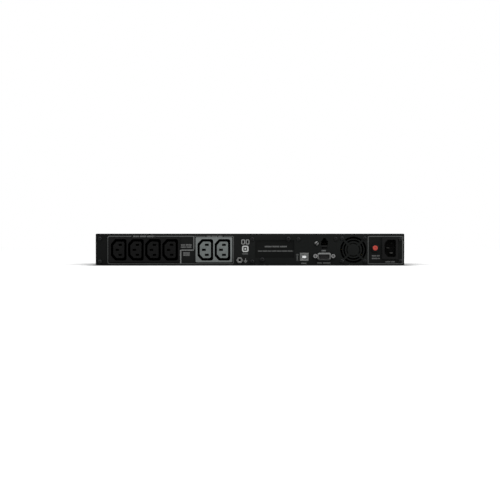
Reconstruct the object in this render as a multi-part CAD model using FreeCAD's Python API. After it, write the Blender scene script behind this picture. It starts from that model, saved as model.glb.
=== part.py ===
"""One-rack-unit line-interactive UPS, built as an assembly of separate solids.

Frame: millimetres, +Z up. The origin is the centre of the rack-ear bolt pattern, on the
ears' mating plane. The connector (rear) face looks along -Y, the control (front) face
along +Y, and +X is to the right when the connector face is viewed.
"""
import FreeCAD, Part
import math
import os

vec = FreeCAD.Vector

# ---------------------------------------------------------------- driving dimensions
BODY_W = 433.0          # case width
BODY_H = 44.3           # case height
BODY_D = 368.0          # connector face to ear plane
TRAY_T = 1.2            # tray and rear panel sheet
COVER_T = 1.1           # cover sheet
EAR_T = 2.0             # rack ear sheet
RACK_SPAN = 465.1       # hole to hole across the rack
RACK_PITCH = 31.75      # hole to hole on one ear, one rack unit
EAR_SLOT_W = 6.8        # ear slot height
EAR_SLOT_L = 10.3       # ear slot length along X
EARS_W = 482.6          # width over the ears
BEZEL_D = 20.0          # case front edge to bezel face
BEZEL_T = 2.2           # bezel wall
OUTLET_PITCH = 24.0     # socket to socket
FAN_SIZE = 40.0         # fan frame side
FAN_PITCH = 32.0        # fan screw to fan screw

SIDE = BODY_W / 2               # outer face of the cover's sides, +-X
TOP = BODY_H / 2                # case top and bottom, +-Z
REAR = -BODY_D                  # outer face of the rear panel
REAR_IN = REAR + TRAY_T         # inner face of the rear panel
CASE_REAR = REAR + 0.7          # rear edge of cover and tray
FRONT = EAR_T                   # front edge of cover and tray
FLOOR = -TOP + TRAY_T           # top of the tray floor
LID = TOP - COVER_T             # underside of the cover
BEZEL_BACK = FRONT + 0.2
BEZEL_FACE = FRONT + BEZEL_D
PLATE_FACE = BEZEL_BACK + TRAY_T    # front face of the battery tray's plate

# ---------------------------------------------------------------- rear panel layout
# centres are (x, z)
MAIN_X = [-184.0 + i * OUTLET_PITCH for i in range(4)]
AUX_X = [-62.6 + i * OUTLET_PITCH for i in range(2)]
SOCKET_Z = -0.55
EXPANSION = (7.4, 62.0, -11.9, 12.9)    # opening: x0, x1, z0, z1
USB = (76.0, -10.4)
SERIAL = (104.0, -9.4)
EPO_X = 104.4                           # emergency-off jack
FAN = (145.0, -0.45)
BREAKER = (175.3, 2.0)
INLET = (196.4, 1.6)
CORNER_SCREWS = [(-210.6, 14.9), (-210.6, -17.2), (210.9, 14.0), (210.9, -16.4)]
BRACKET_SCREWS = [(3.2, 14.4), (3.2, -17.1)]
EXPANSION_SCREWS = [(54.0, 14.6), (17.2, -14.5)]
COMM_SCREWS = [(67.9, 14.4), (120.3, 14.4)]
COMM_EARTH = (93.4, 8.2)
CASE_EARTH = (-14.5, -15.0)
FAN_HOLES = [(FAN[0] + dx, FAN[1] + dz) for dx in (-FAN_PITCH / 2, FAN_PITCH / 2)
             for dz in (-FAN_PITCH / 2, FAN_PITCH / 2)]
SERIAL_SCREWS = [(SERIAL[0] + side * 12.495, SERIAL[1]) for side in (-1, 1)]
# two rows of pins: five above, four below
SERIAL_PINS = [(SERIAL[0] + (i - (count - 1) / 2) * 2.77, SERIAL[1] + row)
               for row, count in ((1.42, 5), (-1.42, 4)) for i in range(count)]

# ---------------------------------------------------------------- case and board fixings
TOP_SCREW_X = [-190.0, -60.0, 90.0, 196.0]
TOP_SCREW_Y = REAR + 7.0
SIDE_SCREWS = [(y, 9.6) for y in (-352.0, -205.0, -60.0)]           # (y, z)
EAR_SCREWS = [(y, z) for y in (-12.0, -36.0) for z in (-12.0, 12.0)]    # (y, z)
POSTS = [                               # main board posts (x, y)
    (-196.0, -326.0), (-86.0, -326.0), (40.0, -326.0), (116.0, -326.0),
    (-145.0, -234.0), (-90.0, -234.0), (40.0, -234.0), (116.0, -234.0),
]
REAR_FEET = [(-180.0, -214.0), (-80.0, -214.0), (60.0, -214.0)]     # bulkhead feet (x, y)
SIDE_FEET = [(105.5, -170.0), (105.5, -30.0)]
LATCHES = [(-211.2, 0.0), (103.2, 0.0)]     # screws that hold the battery tray shut
HANDLE_SCREWS = [(-74.0, 0.0), (-36.0, 0.0)]
HOOK_X = [132.0, 196.0]                     # hooks of the control bezel
BOARD_Z0 = -15.8                            # main board underside
BOARD_Z1 = -14.2                            # main board top

TO_REAR = (0, -1, 0)
TO_FRONT = (0, 1, 0)
UP = (0, 0, 1)


# ---------------------------------------------------------------- helpers
def box(x0, x1, y0, y1, z0, z1):
    return Part.makeBox(x1 - x0, y1 - y0, z1 - z0, vec(x0, y0, z0))


def cyl_x(radius, at, x0, x1):
    """Cylinder along X, centred on at = (y, z)."""
    return Part.makeCylinder(radius, x1 - x0, vec(x0, *at), vec(1, 0, 0))


def cyl_y(radius, at, y0, y1):
    """Cylinder along Y, centred on at = (x, z)."""
    return Part.makeCylinder(radius, y1 - y0, vec(at[0], y0, at[1]), vec(0, 1, 0))


def cyl_z(radius, at, z0, z1):
    """Cylinder along Z, centred on at = (x, y)."""
    return Part.makeCylinder(radius, z1 - z0, vec(*at, z0), vec(0, 0, 1))


def holes_y(radius, places, y0, y1):
    return [cyl_y(radius, at, y0, y1) for at in places]


def span(side, near, far, origin=0.0):
    """Two distances from origin, towards side (+1 or -1), as (low, high)."""
    return sorted((origin + side * near, origin + side * far))


def cut(shape, tools):
    return shape.cut(Part.makeCompound(tools))


def fuse(shapes):
    joined = shapes[0]
    if len(shapes) > 1:
        joined = joined.multiFuse(shapes[1:])
    return joined.removeSplitter()


def outward(solid):
    """The solid, turned right side out."""
    if solid.Volume < 0:
        solid.reverse()
    return solid


def corner_arc(before, corner, after, radius, leg_share=math.inf):
    """Start, middle and end of the arc that rounds a corner. It takes up at most
    leg_share of either leg, and its radius shrinks to suit."""
    leg_in = before - corner
    leg_out = after - corner
    limit = leg_share * min(leg_in.Length, leg_out.Length)
    leg_in.normalize()
    leg_out.normalize()
    half_angle = leg_in.getAngle(leg_out) / 2
    setback = min(radius / math.tan(half_angle), limit)
    radius = setback * math.tan(half_angle)
    bisector = leg_in + leg_out
    bisector.normalize()
    middle = corner + bisector * (radius / math.sin(half_angle) - radius)
    return corner + leg_in * setback, middle, corner + leg_out * setback


def polygon_face(points, plane, level):
    """Face of a polygon of (u, v) or (u, v, corner radius), on a plane at level."""
    to_space = {
        "xz": lambda u, v: vec(u, level, v),
        "xy": lambda u, v: vec(u, v, level),
        "yz": lambda u, v: vec(level, u, v),
    }[plane]
    corners = [to_space(*point[:2]) for point in points]
    count = len(points)
    arcs = []
    for i, point in enumerate(points):
        if len(point) > 2:
            following = corners[(i + 1) % count]
            arcs.append(corner_arc(corners[i - 1], corners[i], following, point[2]))
        else:
            arcs.append((corners[i], None, corners[i]))
    edges = []
    for i, (start, middle, end) in enumerate(arcs):
        if middle is not None:
            edges.append(Part.Arc(start, middle, end).toShape())
        next_start = arcs[(i + 1) % count][0]
        if (next_start - end).Length > 1e-7:
            edges.append(Part.makeLine(end, next_start))
    return Part.Face(Part.Wire(edges))


def prism(points, plane, start, end):
    """Polygon extruded square to its plane, from start to end."""
    depth = end - start
    direction = {"xz": vec(0, depth, 0), "xy": vec(0, 0, depth), "yz": vec(depth, 0, 0)}
    return outward(polygon_face(points, plane, start).extrude(direction[plane]))


def rounded(u0, u1, v0, v1, radius, plane, start, end):
    """Prism of a rectangle with rounded corners."""
    corners = [(u0, v0, radius), (u1, v0, radius), (u1, v1, radius), (u0, v1, radius)]
    return prism(corners, plane, start, end)


def rounded_y(at, half_x, half_z, radius, y0, y1):
    """Rounded block along Y, centred on at = (x, z)."""
    x, z = at
    return rounded(x - half_x, x + half_x, z - half_z, z + half_z, radius, "xz", y0, y1)


def block_y(at, half_x, half_z, y0, y1):
    """Sharp block along Y, centred on at = (x, z)."""
    x, z = at
    return box(x - half_x, x + half_x, y0, y1, z - half_z, z + half_z)


def place(shape, at, axis):
    """Copy of a shape built along +Z, turned so that +Z points along axis, then moved."""
    turned = shape.copy()
    move = FreeCAD.Placement(vec(*at), FreeCAD.Rotation(vec(0, 0, 1), vec(*axis)))
    turned.Placement = move.multiply(turned.Placement)
    return turned


def place_y(shape, places, y, axis):
    """Copies of a shape at each (x, z) of places."""
    return [place(shape, (x, y, z), axis) for x, z in places]


def cross_recess(width, length, depth, top=0.0):
    """Tool for a cross drive recess in a screw head whose face is at z = top."""
    return fuse([
        Part.makeBox(width, length, depth + 1, vec(-width / 2, -length / 2, top - depth)),
        Part.makeBox(length, width, depth + 1, vec(-length / 2, -width / 2, top - depth)),
    ])


def pan_screw(head_radius, head_height, shank_radius, length, cross=True):
    """Pan-head screw along Z: head above 0, shank below."""
    rim = vec(head_radius, 0, head_height * 0.35)
    shoulder = vec(head_radius * 0.86, 0, head_height * 0.8)
    crown = vec(head_radius * 0.62, 0, head_height)
    outline = [
        Part.makeLine(vec(0, 0, 0), vec(head_radius, 0, 0)),
        Part.makeLine(vec(head_radius, 0, 0), rim),
        Part.Arc(rim, shoulder, crown).toShape(),
        Part.makeLine(crown, vec(0, 0, head_height)),
        Part.makeLine(vec(0, 0, head_height), vec(0, 0, 0)),
    ]
    head = outward(Part.Face(Part.Wire(outline)).revolve(vec(0, 0, 0), vec(0, 0, 1), 360))
    end = vec(0, 0, -length)
    shank = Part.makeCylinder(shank_radius, length, end)
    tip = Part.makeCone(shank_radius, shank_radius * 0.7, 0.6, end, vec(0, 0, -1))
    screw = fuse([head, shank, tip])
    if cross:
        screw = screw.cut(cross_recess(head_radius * 0.24, head_radius * 1.15,
                                       head_height * 0.62, head_height))
    return screw


def flat_screw(head_radius, head_height, shank_radius, length):
    """Countersunk screw along Z: flat head face at 0, shank below."""
    head = Part.makeCone(shank_radius, head_radius, head_height,
                         vec(0, 0, -head_height), vec(0, 0, 1))
    shank = Part.makeCylinder(shank_radius, length - head_height, vec(0, 0, -length))
    recess = cross_recess(head_radius * 0.22, head_radius * 1.1, head_height * 0.6)
    return fuse([head, shank]).cut(recess)


def hexagon(across_flats, height, bore=0.0):
    """Hexagonal prism from z = 0, with an optional through bore of that radius."""
    radius = across_flats / math.sqrt(3)
    angles = [math.radians(60 * i) for i in range(7)]
    corners = [vec(radius * math.cos(a), radius * math.sin(a), 0) for a in angles]
    nut = Part.Face(Part.makePolygon(corners)).extrude(vec(0, 0, height))
    if bore:
        nut = nut.cut(Part.makeCylinder(bore, height + 2, vec(0, 0, -1)))
    return nut


def top_rim(shape, z):
    """Flat edges of a shape at height z."""
    return [edge for edge in shape.Edges
            if abs(edge.BoundBox.ZMin - z) < 1e-6 and edge.BoundBox.ZLength < 1e-6]


def wire(points, radius, bend=4.0):
    """Round wire along straight runs joined by arcs of the given bend radius."""
    points = [vec(*point) for point in points]
    edges = []
    last = points[0]
    for before, corner, after in zip(points, points[1:], points[2:]):
        start, middle, end = corner_arc(before, corner, after, bend, leg_share=0.48)
        edges.append(Part.makeLine(last, start))
        edges.append(Part.Arc(start, middle, end).toShape())
        last = end
    edges.append(Part.makeLine(last, points[-1]))
    section = Part.Circle(points[0], points[1] - points[0], radius).toShape()
    return outward(Part.Wire(edges).makePipeShell([Part.Wire([section])], True, False))


def sound(solid):
    """The solid, or a healed copy if a boolean has left it invalid, right side out."""
    if not solid.isValid():
        healed = solid.copy()
        healed.fix(1e-4, 1e-4, 1e-3)
        if healed.Solids:
            solid = healed.Solids[0]
    return outward(solid)


def save(name, shapes):
    """Writes one named piece; a list holds a group of separate solids."""
    if not isinstance(shapes, list):
        shapes = [shapes]
    solids = [sound(solid) for shape in shapes for solid in shape.Solids]
    piece = solids[0] if len(solids) == 1 else Part.makeCompound(solids)
    piece.exportStep(os.path.join("parts", name + ".step"))


# ---------------------------------------------------------------- tray and cover
def chassis_tray():
    outer = SIDE - 1.25
    inner = outer - TRAY_T
    wall_top = 17.5
    # floor with its two bent sides
    tray = prism([
        (-outer, wall_top), (-inner, wall_top), (-inner, FLOOR, 0.5), (inner, FLOOR, 0.5),
        (inner, wall_top), (outer, wall_top), (outer, -TOP, 1.5), (-outer, -TOP, 1.5),
    ], "xz", CASE_REAR, FRONT)
    # the sides stop at the inner face of the rear panel
    wall_rear = REAR_IN + 0.05
    for side in (-1, 1):
        x0, x1 = span(side, inner - 0.6, outer + 1)
        tray = tray.cut(box(x0, x1, CASE_REAR - 1, wall_rear, FLOOR, wall_top + 1))
    parts = [tray]
    # rear tabs that the corner screws go into
    for side, reach in ((-1, 203.6), (1, 207.2)):
        x0, x1 = span(side, inner + 0.3, reach)
        parts.append(box(x0, x1, wall_rear, wall_rear + TRAY_T, FLOOR - 0.3, wall_top))
    # front wall of the control bay, and the narrow tab on the other side
    for x0, x1, top in ((100.9, inner + 0.3, 19.0), (-inner - 0.3, -208.6, wall_top)):
        parts.append(box(x0, x1, FRONT - TRAY_T, FRONT, FLOOR - 0.3, top))
    tray = fuse(parts)

    tools = holes_y(1.45, CORNER_SCREWS, REAR - 2, REAR_IN + 4)
    # side windows behind the cover's vent rows, and side screw holes
    for side in (-1, 1):
        x0, x1 = span(side, inner - 1, outer + 1)
        tools.append(rounded(-338, -232, -11.5, 11.5, 2.0, "yz", x0, x1))
        tools += [cyl_x(1.45, at, x0, x1) for at in SIDE_SCREWS]
        tools += [cyl_x(2.05, at, x0, x1) for at in EAR_SCREWS]
    # control bay openings, latch screw holes and hook slots
    y0, y1 = FRONT - 3, FRONT + 2
    tools.append(rounded(116, 184, -13.5, 13.5, 2.0, "xz", y0, y1))
    tools.append(rounded(187.5, 210.5, -14.5, 14.5, 3.0, "xz", y0, y1))
    tools += holes_y(1.6, LATCHES, y0, y1)
    for x in HOOK_X:
        for side in (-1, 1):
            tools.append(box(x - 3.3, x + 3.3, y0, y1, *span(side, 16.2, 17.8)))
    # floor vents, in two fields
    for field_x in (-190.0, 20.0):
        for i in range(12):
            x = field_x + i * 9.0
            tools.append(rounded(x, x + 4.0, -300, -262, 1.9, "xy", -TOP - 1, FLOOR + 1))
    # floor holes for the board posts and the bulkhead feet
    tools += [cyl_z(1.35, at, -TOP - 1, FLOOR + 1) for at in POSTS]
    tools += [cyl_z(1.55, at, -TOP - 1, FLOOR + 1) for at in REAR_FEET + SIDE_FEET]
    return cut(tray, tools)


def top_cover():
    lower_edge = -TOP + 0.4
    inner = SIDE - COVER_T
    cover = prism([
        (-SIDE, lower_edge), (-SIDE, TOP, 1.5), (SIDE, TOP, 1.5), (SIDE, lower_edge),
        (inner, lower_edge), (inner, LID, 0.5), (-inner, LID, 0.5), (-inner, lower_edge),
    ], "xz", CASE_REAR, FRONT)
    tools = []
    for side in (-1, 1):
        x0, x1 = span(side, SIDE - 3, SIDE + 1)
        for i in range(17):
            y = -334.0 + i * 6.0
            tools.append(rounded(y, y + 2.6, -9.0, 9.0, 1.25, "yz", x0, x1))
        tools += [cyl_x(1.7, at, x0, x1) for at in SIDE_SCREWS]
        tools += [cyl_x(2.2, at, x0, x1) for at in EAR_SCREWS]
    # countersinks along the rear edge of the top
    for x in TOP_SCREW_X:
        tools.append(Part.makeCone(1.6, 2.75, COVER_T + 0.02, vec(x, TOP_SCREW_Y, LID - 0.01)))
    return cut(cover, tools)


# ---------------------------------------------------------------- rear panel
def epo_prism(grow, y0, y1, bottom=5.9):
    """Modular jack outline, stepped narrower towards the top; grow offsets it outwards."""
    right_half = [
        (4.7, bottom - grow, 0.4), (4.7, 11.9 + grow, 0.8), (3.3, 11.9 + grow),
        (3.3, 14.0 + grow, 0.8), (1.9, 14.0 + grow), (1.9, 15.9 + grow, 0.6),
    ]
    right = [(EPO_X + half + grow, *rest) for half, *rest in right_half]
    left = [(EPO_X - half - grow, *rest) for half, *rest in reversed(right_half)]
    return prism(right + left, "xz", y0, y1)


def serial_prism(grow, y0, y1):
    """D outline of the serial port, wide side up; grow offsets it from the shell's bore."""
    x, z = SERIAL
    half_w, half_h, radius = 8.1 + grow, 4.1 + grow, 2.0 + grow
    slant = 1.25
    return prism([
        (x - half_w + slant, z - half_h, radius), (x + half_w - slant, z - half_h, radius),
        (x + half_w, z + half_h, radius), (x - half_w, z + half_h, radius),
    ], "xz", y0, y1)


def bank_block(columns, radius, y0, y1, gap=0.0):
    """Block round a row of outlets, grown by gap on every side."""
    return rounded(columns[0] - 11.65 - gap, columns[-1] + 11.65 + gap,
                   SOCKET_Z - 15.65 - gap, SOCKET_Z + 15.65 + gap, radius, "xz", y0, y1)


def fan_grille(y0, y1):
    """Tools for three rings of slots, crossed by two diagonal bars left standing."""
    bars = []
    for angle in (45, 135):
        bar = box(-25, 25, y0 - 1, y1 + 1, -1.4, 1.4)
        bar.rotate(vec(0, 0, 0), vec(0, 1, 0), angle)
        bar.translate(vec(FAN[0], 0, FAN[1]))
        bars.append(bar)
    slots = []
    for inner, outer in ((8.3, 9.8), (12.0, 14.2), (15.7, 18.4)):
        ring = cyl_y(outer, FAN, y0, y1).cut(cyl_y(inner, FAN, y0 - 1, y1 + 1))
        slots += ring.cut(Part.makeCompound(bars)).Solids
    return slots


def rear_panel():
    bottom, top = FLOOR + 0.08, LID - 0.06
    parts = [rounded(-SIDE + 1.5, SIDE - 1.5, bottom, top, 0.3, "xz", REAR, REAR_IN)]
    # flanges bent forwards along both long edges
    for z0, z1 in ((top - TRAY_T, top), (bottom, bottom + TRAY_T)):
        for x0, x1 in ((-202.5, 123.5), (167.5, 202.5)):
            parts.append(box(x0, x1, REAR_IN - 0.2, REAR_IN + 10, z0, z1))
    panel = fuse(parts)

    y0, y1 = REAR - 1, REAR_IN + 1
    tools = [bank_block(columns, 1.0, y0, y1, gap=0.2) for columns in (MAIN_X, AUX_X)]
    tools.append(rounded(*EXPANSION, 0.8, "xz", y0, y1))
    tools.append(rounded_y(USB, 6.15, 5.75, 0.4, y0, y1))
    tools.append(serial_prism(1.1, y0, y1))
    tools.append(epo_prism(0.1, y0, y1, bottom=1.0))
    tools += holes_y(1.7, SERIAL_SCREWS, y0, y1)
    tools += fan_grille(y0, y1)
    tools += holes_y(1.65, FAN_HOLES, y0, y1)
    tools.append(cyl_y(5.1, BREAKER, y0, y1))
    tools.append(rounded_y(INLET, 10.2, 13.9, 1.0, y0, y1))
    small_screws = CORNER_SCREWS + BRACKET_SCREWS + COMM_SCREWS + [COMM_EARTH]
    tools += holes_y(1.65, small_screws, y0, y1)
    tools += holes_y(1.5, EXPANSION_SCREWS, y0, y1)
    tools.append(cyl_y(2.65, CASE_EARTH, y0, y1))
    tools += [cyl_z(1.35, (x, TOP_SCREW_Y), 18, 22) for x in TOP_SCREW_X]
    return cut(panel, tools)


def rear_panel_screws():
    small = pan_screw(2.85, 2.0, 1.4, 7.0)
    large = pan_screw(3.3, 2.6, 1.4, 6.5)
    small_places = CORNER_SCREWS + BRACKET_SCREWS + COMM_SCREWS
    return (place_y(small, small_places, REAR, TO_REAR)
            + place_y(large, EXPANSION_SCREWS, REAR, TO_REAR))


def grounding_screws():
    # slotted board earth screw
    slot = Part.makeBox(1.3, 8.0, 3.0, vec(-0.65, -4.0, 0.7))
    slot.rotate(vec(0, 0, 0), vec(0, 0, 1), -45)
    screw = pan_screw(3.0, 2.1, 1.4, 7.0, cross=False).cut(slot)
    # case earth terminal: hexagonal bushing, open at the rear, with a nut inside the panel
    head = hexagon(8.0, 2.8).common(Part.makeCone(6.6, 4.35, 3.3, vec(0, 0, -0.5)))
    bushing = fuse([head, Part.makeCylinder(2.5, 5.4, vec(0, 0, -5.2))])
    bushing = bushing.cut(Part.makeCylinder(1.8, 8.2, vec(0, 0, -4.4)))
    bushing = bushing.cut(Part.makeCone(1.8, 2.3, 0.5, vec(0, 0, 2.31)))
    return (place_y(screw, [COMM_EARTH], REAR, TO_REAR)
            + place_y(bushing, [CASE_EARTH], REAR, TO_REAR)
            + place_y(hexagon(8.0, 3.0, 2.55), [CASE_EARTH], REAR_IN, TO_FRONT))


# ---------------------------------------------------------------- outlets
def socket_prism(at, width, height, chamfer, radius, y0, y1, chamfer_radius=1.2):
    """Socket outline: corners on the earth side (-X) are cut off by chamfer = (x, z),
    the other two are rounded."""
    x0, x1 = at[0] - width / 2, at[0] + width / 2
    z0, z1 = at[1] - height / 2, at[1] + height / 2
    cut_x, cut_z = chamfer
    return prism([
        (x0 + cut_x, z0, chamfer_radius), (x1, z0, radius),
        (x1, z1, radius), (x0 + cut_x, z1, chamfer_radius),
        (x0, z1 - cut_z, chamfer_radius), (x0, z0 + cut_z, chamfer_radius),
    ], "xz", y0, y1)


def blade_places(x, z):
    """Centres of the three blades of a socket centred on (x, z); earth last."""
    return [(x + dx, z + dz) for dx, dz in ((2.1, 7.0), (2.1, -7.0), (-2.1, 0.0))]


def outlet_shell(columns):
    flange = rounded(columns[0] - 13.65, columns[-1] + 13.65, -18.0, 17.1, 1.6,
                     "xz", REAR - 1.4, REAR)
    shell = fuse([flange, bank_block(columns, 0.8, REAR, REAR + 17.0)])
    return cut(shell, [
        socket_prism((x, SOCKET_Z), 22.0, 30.1, (6.1, 6.6), 3.0, REAR - 3, REAR + 18, 2.2)
        for x in columns])


def outlet_core(columns):
    """Back plate with one slotted tongue for each socket."""
    parts = [bank_block(columns, 0.8, REAR + 17.0, REAR + 21.0)]
    parts += [
        socket_prism((x, SOCKET_Z), 15.5, 23.0, (4.6, 5.2), 2.5, REAR - 1.0, REAR + 17.4, 1.6)
        for x in columns]
    return cut(fuse(parts), [
        rounded_y(at, 2.4, 1.4, 0.3, REAR - 3, REAR + 23)
        for x in columns for at in blade_places(x, SOCKET_Z)])


def power_contacts():
    contacts = []
    for x in MAIN_X + AUX_X:
        for at in blade_places(x, SOCKET_Z):
            clip = block_y(at, 2.1, 1.1, REAR + 9.0, REAR + 17.0)
            clip = clip.cut(block_y(at, 3, 0.72, REAR + 8, REAR + 15.5))
            contacts.append(fuse([clip, block_y(at, 2.1, 0.4, REAR + 16.5, REAR + 28.5)]))
    # fixed contacts of the battery connector
    contacts += [block_y(at, 3, 1.0, -219.5, -212.8) for at in PLUG_CONTACTS]
    return contacts


# ---------------------------------------------------------------- inlet, breaker
def ac_inlet_shell():
    flange = rounded_y(INLET, 11.2, 15.4, 1.8, REAR - 2.2, REAR)
    body = rounded_y(INLET, 10.0, 13.7, 1.0, REAR, REAR + 21.0)
    tools = [socket_prism(INLET, 15.9, 24.3, (4.6, 5.2), 1.6, REAR - 4, REAR + 16.5)]
    tools += [block_y(at, 2.05, 1.05, REAR + 10, REAR + 24) for at in blade_places(*INLET)]
    return cut(fuse([flange, body]), tools)


def ac_inlet_pins():
    tip = REAR + 4.6
    pins = []
    for x, z in blade_places(*INLET):
        pin = block_y((x, z), 2.0, 1.0, tip, REAR + 29.0)
        # thinner tail
        for side in (1, -1):
            pin = pin.cut(box(x - 3, x + 3, REAR + 22.0, REAR + 30, *span(side, 0.4, 2, z)))
        # bevelled tip
        for side in (-1, 1):
            wedge = box(-5, 5, -3, 0, -3, 3)
            wedge.rotate(vec(0, 0, 0), vec(1, 0, 0), side * 30)
            wedge.translate(vec(x, tip, z + side * 1.0))
            pin = pin.cut(wedge.common(block_y((x, z), 5, 2, REAR + 1, REAR + 5.8)))
        pins.append(pin)
    return pins


def breaker_body():
    x, z = BREAKER
    body = fuse([
        cyl_y(5.0, BREAKER, REAR - 4.4, REAR + 3.0),
        rounded_y(BREAKER, 7.2, 12.0, 1.0, REAR + 2.9, REAR + 31.0),
        cyl_y(6.4, BREAKER, REAR_IN, REAR + 3.0),
    ])
    # button bore, and the wider pocket for the button's foot flange
    body = cut(body, [
        cyl_y(3.56, BREAKER, REAR - 6, REAR + 8.0),
        cyl_y(4.4, BREAKER, REAR + 3.4, REAR + 9.0),
    ])
    terminals = [block_y((x, z + dz), 3.1, 0.4, REAR + 30.9, REAR + 39.0)
                 for dz in (-7.5, 7.5)]
    return fuse([body] + terminals)


def breaker_nut():
    x, z = BREAKER
    nut = cyl_y(6.2, BREAKER, REAR - 2.4, REAR).cut(cyl_y(5.02, BREAKER, REAR - 4, REAR + 1))
    grooves = []
    for i in range(24):
        angle = math.radians(15 * i)
        at = (x + 6.25 * math.cos(angle), z + 6.25 * math.sin(angle))
        grooves.append(cyl_y(0.32, at, REAR - 3, REAR + 1))
    return cut(nut, grooves)


def breaker_button():
    length = 13.8
    button = Part.makeCylinder(3.5, length)
    button = button.makeFillet(0.9, top_rim(button, length))
    button = button.cut(Part.makeCone(0.9, 1.7, 1.0, vec(0, 0, 13.2)))
    foot = Part.makeCylinder(4.2, 0.9)
    return place_y(fuse([button, foot]), [BREAKER], REAR + 7.9, TO_REAR)


# ---------------------------------------------------------------- communication ports
PORT_END = REAR + 17.0      # inner end of the port housings
COMM_Y0 = PORT_END + 0.1    # port board faces
COMM_Y1 = COMM_Y0 + 1.6


def usb_shell():
    x, z = USB
    outer = rounded_y(USB, 6.0, 5.6, 0.5, REAR - 0.8, PORT_END)
    cavity = rounded_y(USB, 5.6, 5.2, 0.3, REAR + 0.2, PORT_END + 1)
    # opening with its two upper corners cut off
    mouth = prism([
        (x - 4.3, z - 3.9, 0.3), (x + 4.3, z - 3.9, 0.3), (x + 4.3, z + 2.3, 0.3),
        (x + 2.7, z + 3.9, 0.3), (x - 2.7, z + 3.9, 0.3), (x - 4.3, z + 2.3, 0.3),
    ], "xz", REAR - 2, REAR + 1)
    return cut(outer, [cavity, mouth])


def usb_core():
    back = rounded_y(USB, 5.55, 5.15, 0.3, REAR + 8.5, PORT_END)
    tongue = rounded_y(USB, 2.85, 1.6, 0.3, REAR + 0.4, REAR + 8.6)
    return fuse([back, tongue])


def serial_shell():
    shell = serial_prism(0.8, REAR - 3.4, REAR_IN + 0.1)
    flange = rounded_y(SERIAL, 15.4, 6.2, 1.0, REAR_IN, REAR_IN + 1.0)
    bore = serial_prism(0.0, REAR - 6, REAR_IN + 3)
    return cut(fuse([shell, flange]),
               [bore] + holes_y(1.55, SERIAL_SCREWS, REAR_IN - 1, REAR_IN + 3))


def serial_core():
    insert = serial_prism(-0.05, REAR + 1.5, REAR_IN + 1.0)
    back = rounded_y(SERIAL, 9.2, 5.4, 0.8, REAR_IN + 1.0, PORT_END)
    return cut(fuse([insert, back]), holes_y(0.52, SERIAL_PINS, REAR - 5, REAR + 25))


def serial_jackscrews():
    """Hexagonal heads with a bore, chamfered at the outer end."""
    jack = fuse([hexagon(5.3, 5.0), Part.makeCylinder(1.52, 5.5, vec(0, 0, -5.0))])
    jack = jack.cut(Part.makeCylinder(1.42, 6.0, vec(0, 0, 0.6)))
    envelope = Part.makeCone(5.7, 2.75, 5.5, vec(0, 0, -0.5))
    envelope = envelope.fuse(Part.makeCylinder(4, 8.0, vec(0, 0, -6)))
    envelope = envelope.fuse(Part.makeCylinder(4, 4.6, vec(0, 0, 0)))
    return place_y(jack.common(envelope), SERIAL_SCREWS, REAR, TO_REAR)


def epo_jack():
    body = rounded(EPO_X - 6.6, EPO_X + 6.6, -0.9, 17.9, 0.6, "xz", REAR_IN + 0.05, PORT_END)
    body = body.cut(epo_prism(0.0, REAR_IN - 1, REAR + 13.0))
    slot = box(EPO_X - 3.9, EPO_X + 3.9, REAR_IN - 1, REAR_IN + 4.0, 1.2, 3.1)
    return cut(body, [slot])


def signal_contacts():
    # serial pins with rounded tips
    contacts = []
    for x, z in SERIAL_PINS:
        pin = cyl_y(0.5, (x, z), REAR - 2.0, REAR + 20.5)
        contacts.append(fuse([pin, Part.makeSphere(0.5, vec(x, REAR - 2.0, z))]))
    # slanted wires in the emergency-off jack
    for i in range(6):
        x = EPO_X + (i - 2.5) * 1.27
        start = vec(x, REAR + 12.9, 6.9)
        run = vec(x, REAR + 8.4, 9.1) - start
        contacts.append(Part.makeCylinder(0.23, run.Length, start, run))
    return contacts


def comm_board():
    board = box(63.9, 123.9, COMM_Y0, COMM_Y1, -18.9, 18.9)
    y0, y1 = COMM_Y0 - 1.1, COMM_Y1 + 1.3
    tools = holes_y(1.5, COMM_SCREWS + [COMM_EARTH], y0, y1)
    tools += holes_y(0.6, SERIAL_PINS, y0, y1)
    mount = COMM_Y1 + 0.05
    return [
        cut(board, tools),
        box(70, 80, mount, REAR + 20.4, 0, 8),
        box(84, 91, mount, REAR + 20.2, -14, -8),
        rounded(108, 120, 0, 9, 0.6, "xz", mount, REAR + 28.0),
    ]


# ---------------------------------------------------------------- expansion slot
def expansion_cover():
    plate = rounded(5.6, 63.0, -17.2, 17.8, 0.5, "xz", REAR_IN, REAR_IN + 1.2)
    plate = cut(plate, holes_y(1.42, EXPANSION_SCREWS, REAR_IN - 1, REAR_IN + 6))
    bosses = [
        cyl_y(2.6, at, REAR_IN + 1.1, REAR_IN + 3.2).cut(cyl_y(1.42, at, REAR_IN, REAR_IN + 5))
        for at in EXPANSION_SCREWS]
    return fuse([plate] + bosses)


def card_guide(x0, x1, y0, groove_x0, groove_x1):
    """Rail along Y with a groove in one side."""
    end = REAR + 66.0
    groove = box(groove_x0, groove_x1, y0 - 1, end + 1, -8.6, -6.6)
    return box(x0, x1, y0, end, -11.0, -4.0).cut(groove)


def expansion_card_guides():
    # the left guide hangs on a bracket held by the two screws left of the slot
    x0, z0, z1 = -1.5, -18.9, 17.8
    bracket = box(x0, 5.4, REAR_IN, REAR_IN + 1.2, z0, z1)
    bracket = cut(bracket, holes_y(1.42, BRACKET_SCREWS, REAR_IN - 1, REAR_IN + 4))
    wall = box(x0, x0 + 1.2, REAR_IN + 1.1, REAR + 27.0, z0, z1)
    left = card_guide(-0.4, 4.6, REAR_IN + 4.0, 2.6, 6)
    right = card_guide(57.0, 62.0, REAR_IN + 6.0, 56, 59)
    return [fuse([bracket, wall, left]), right]


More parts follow.
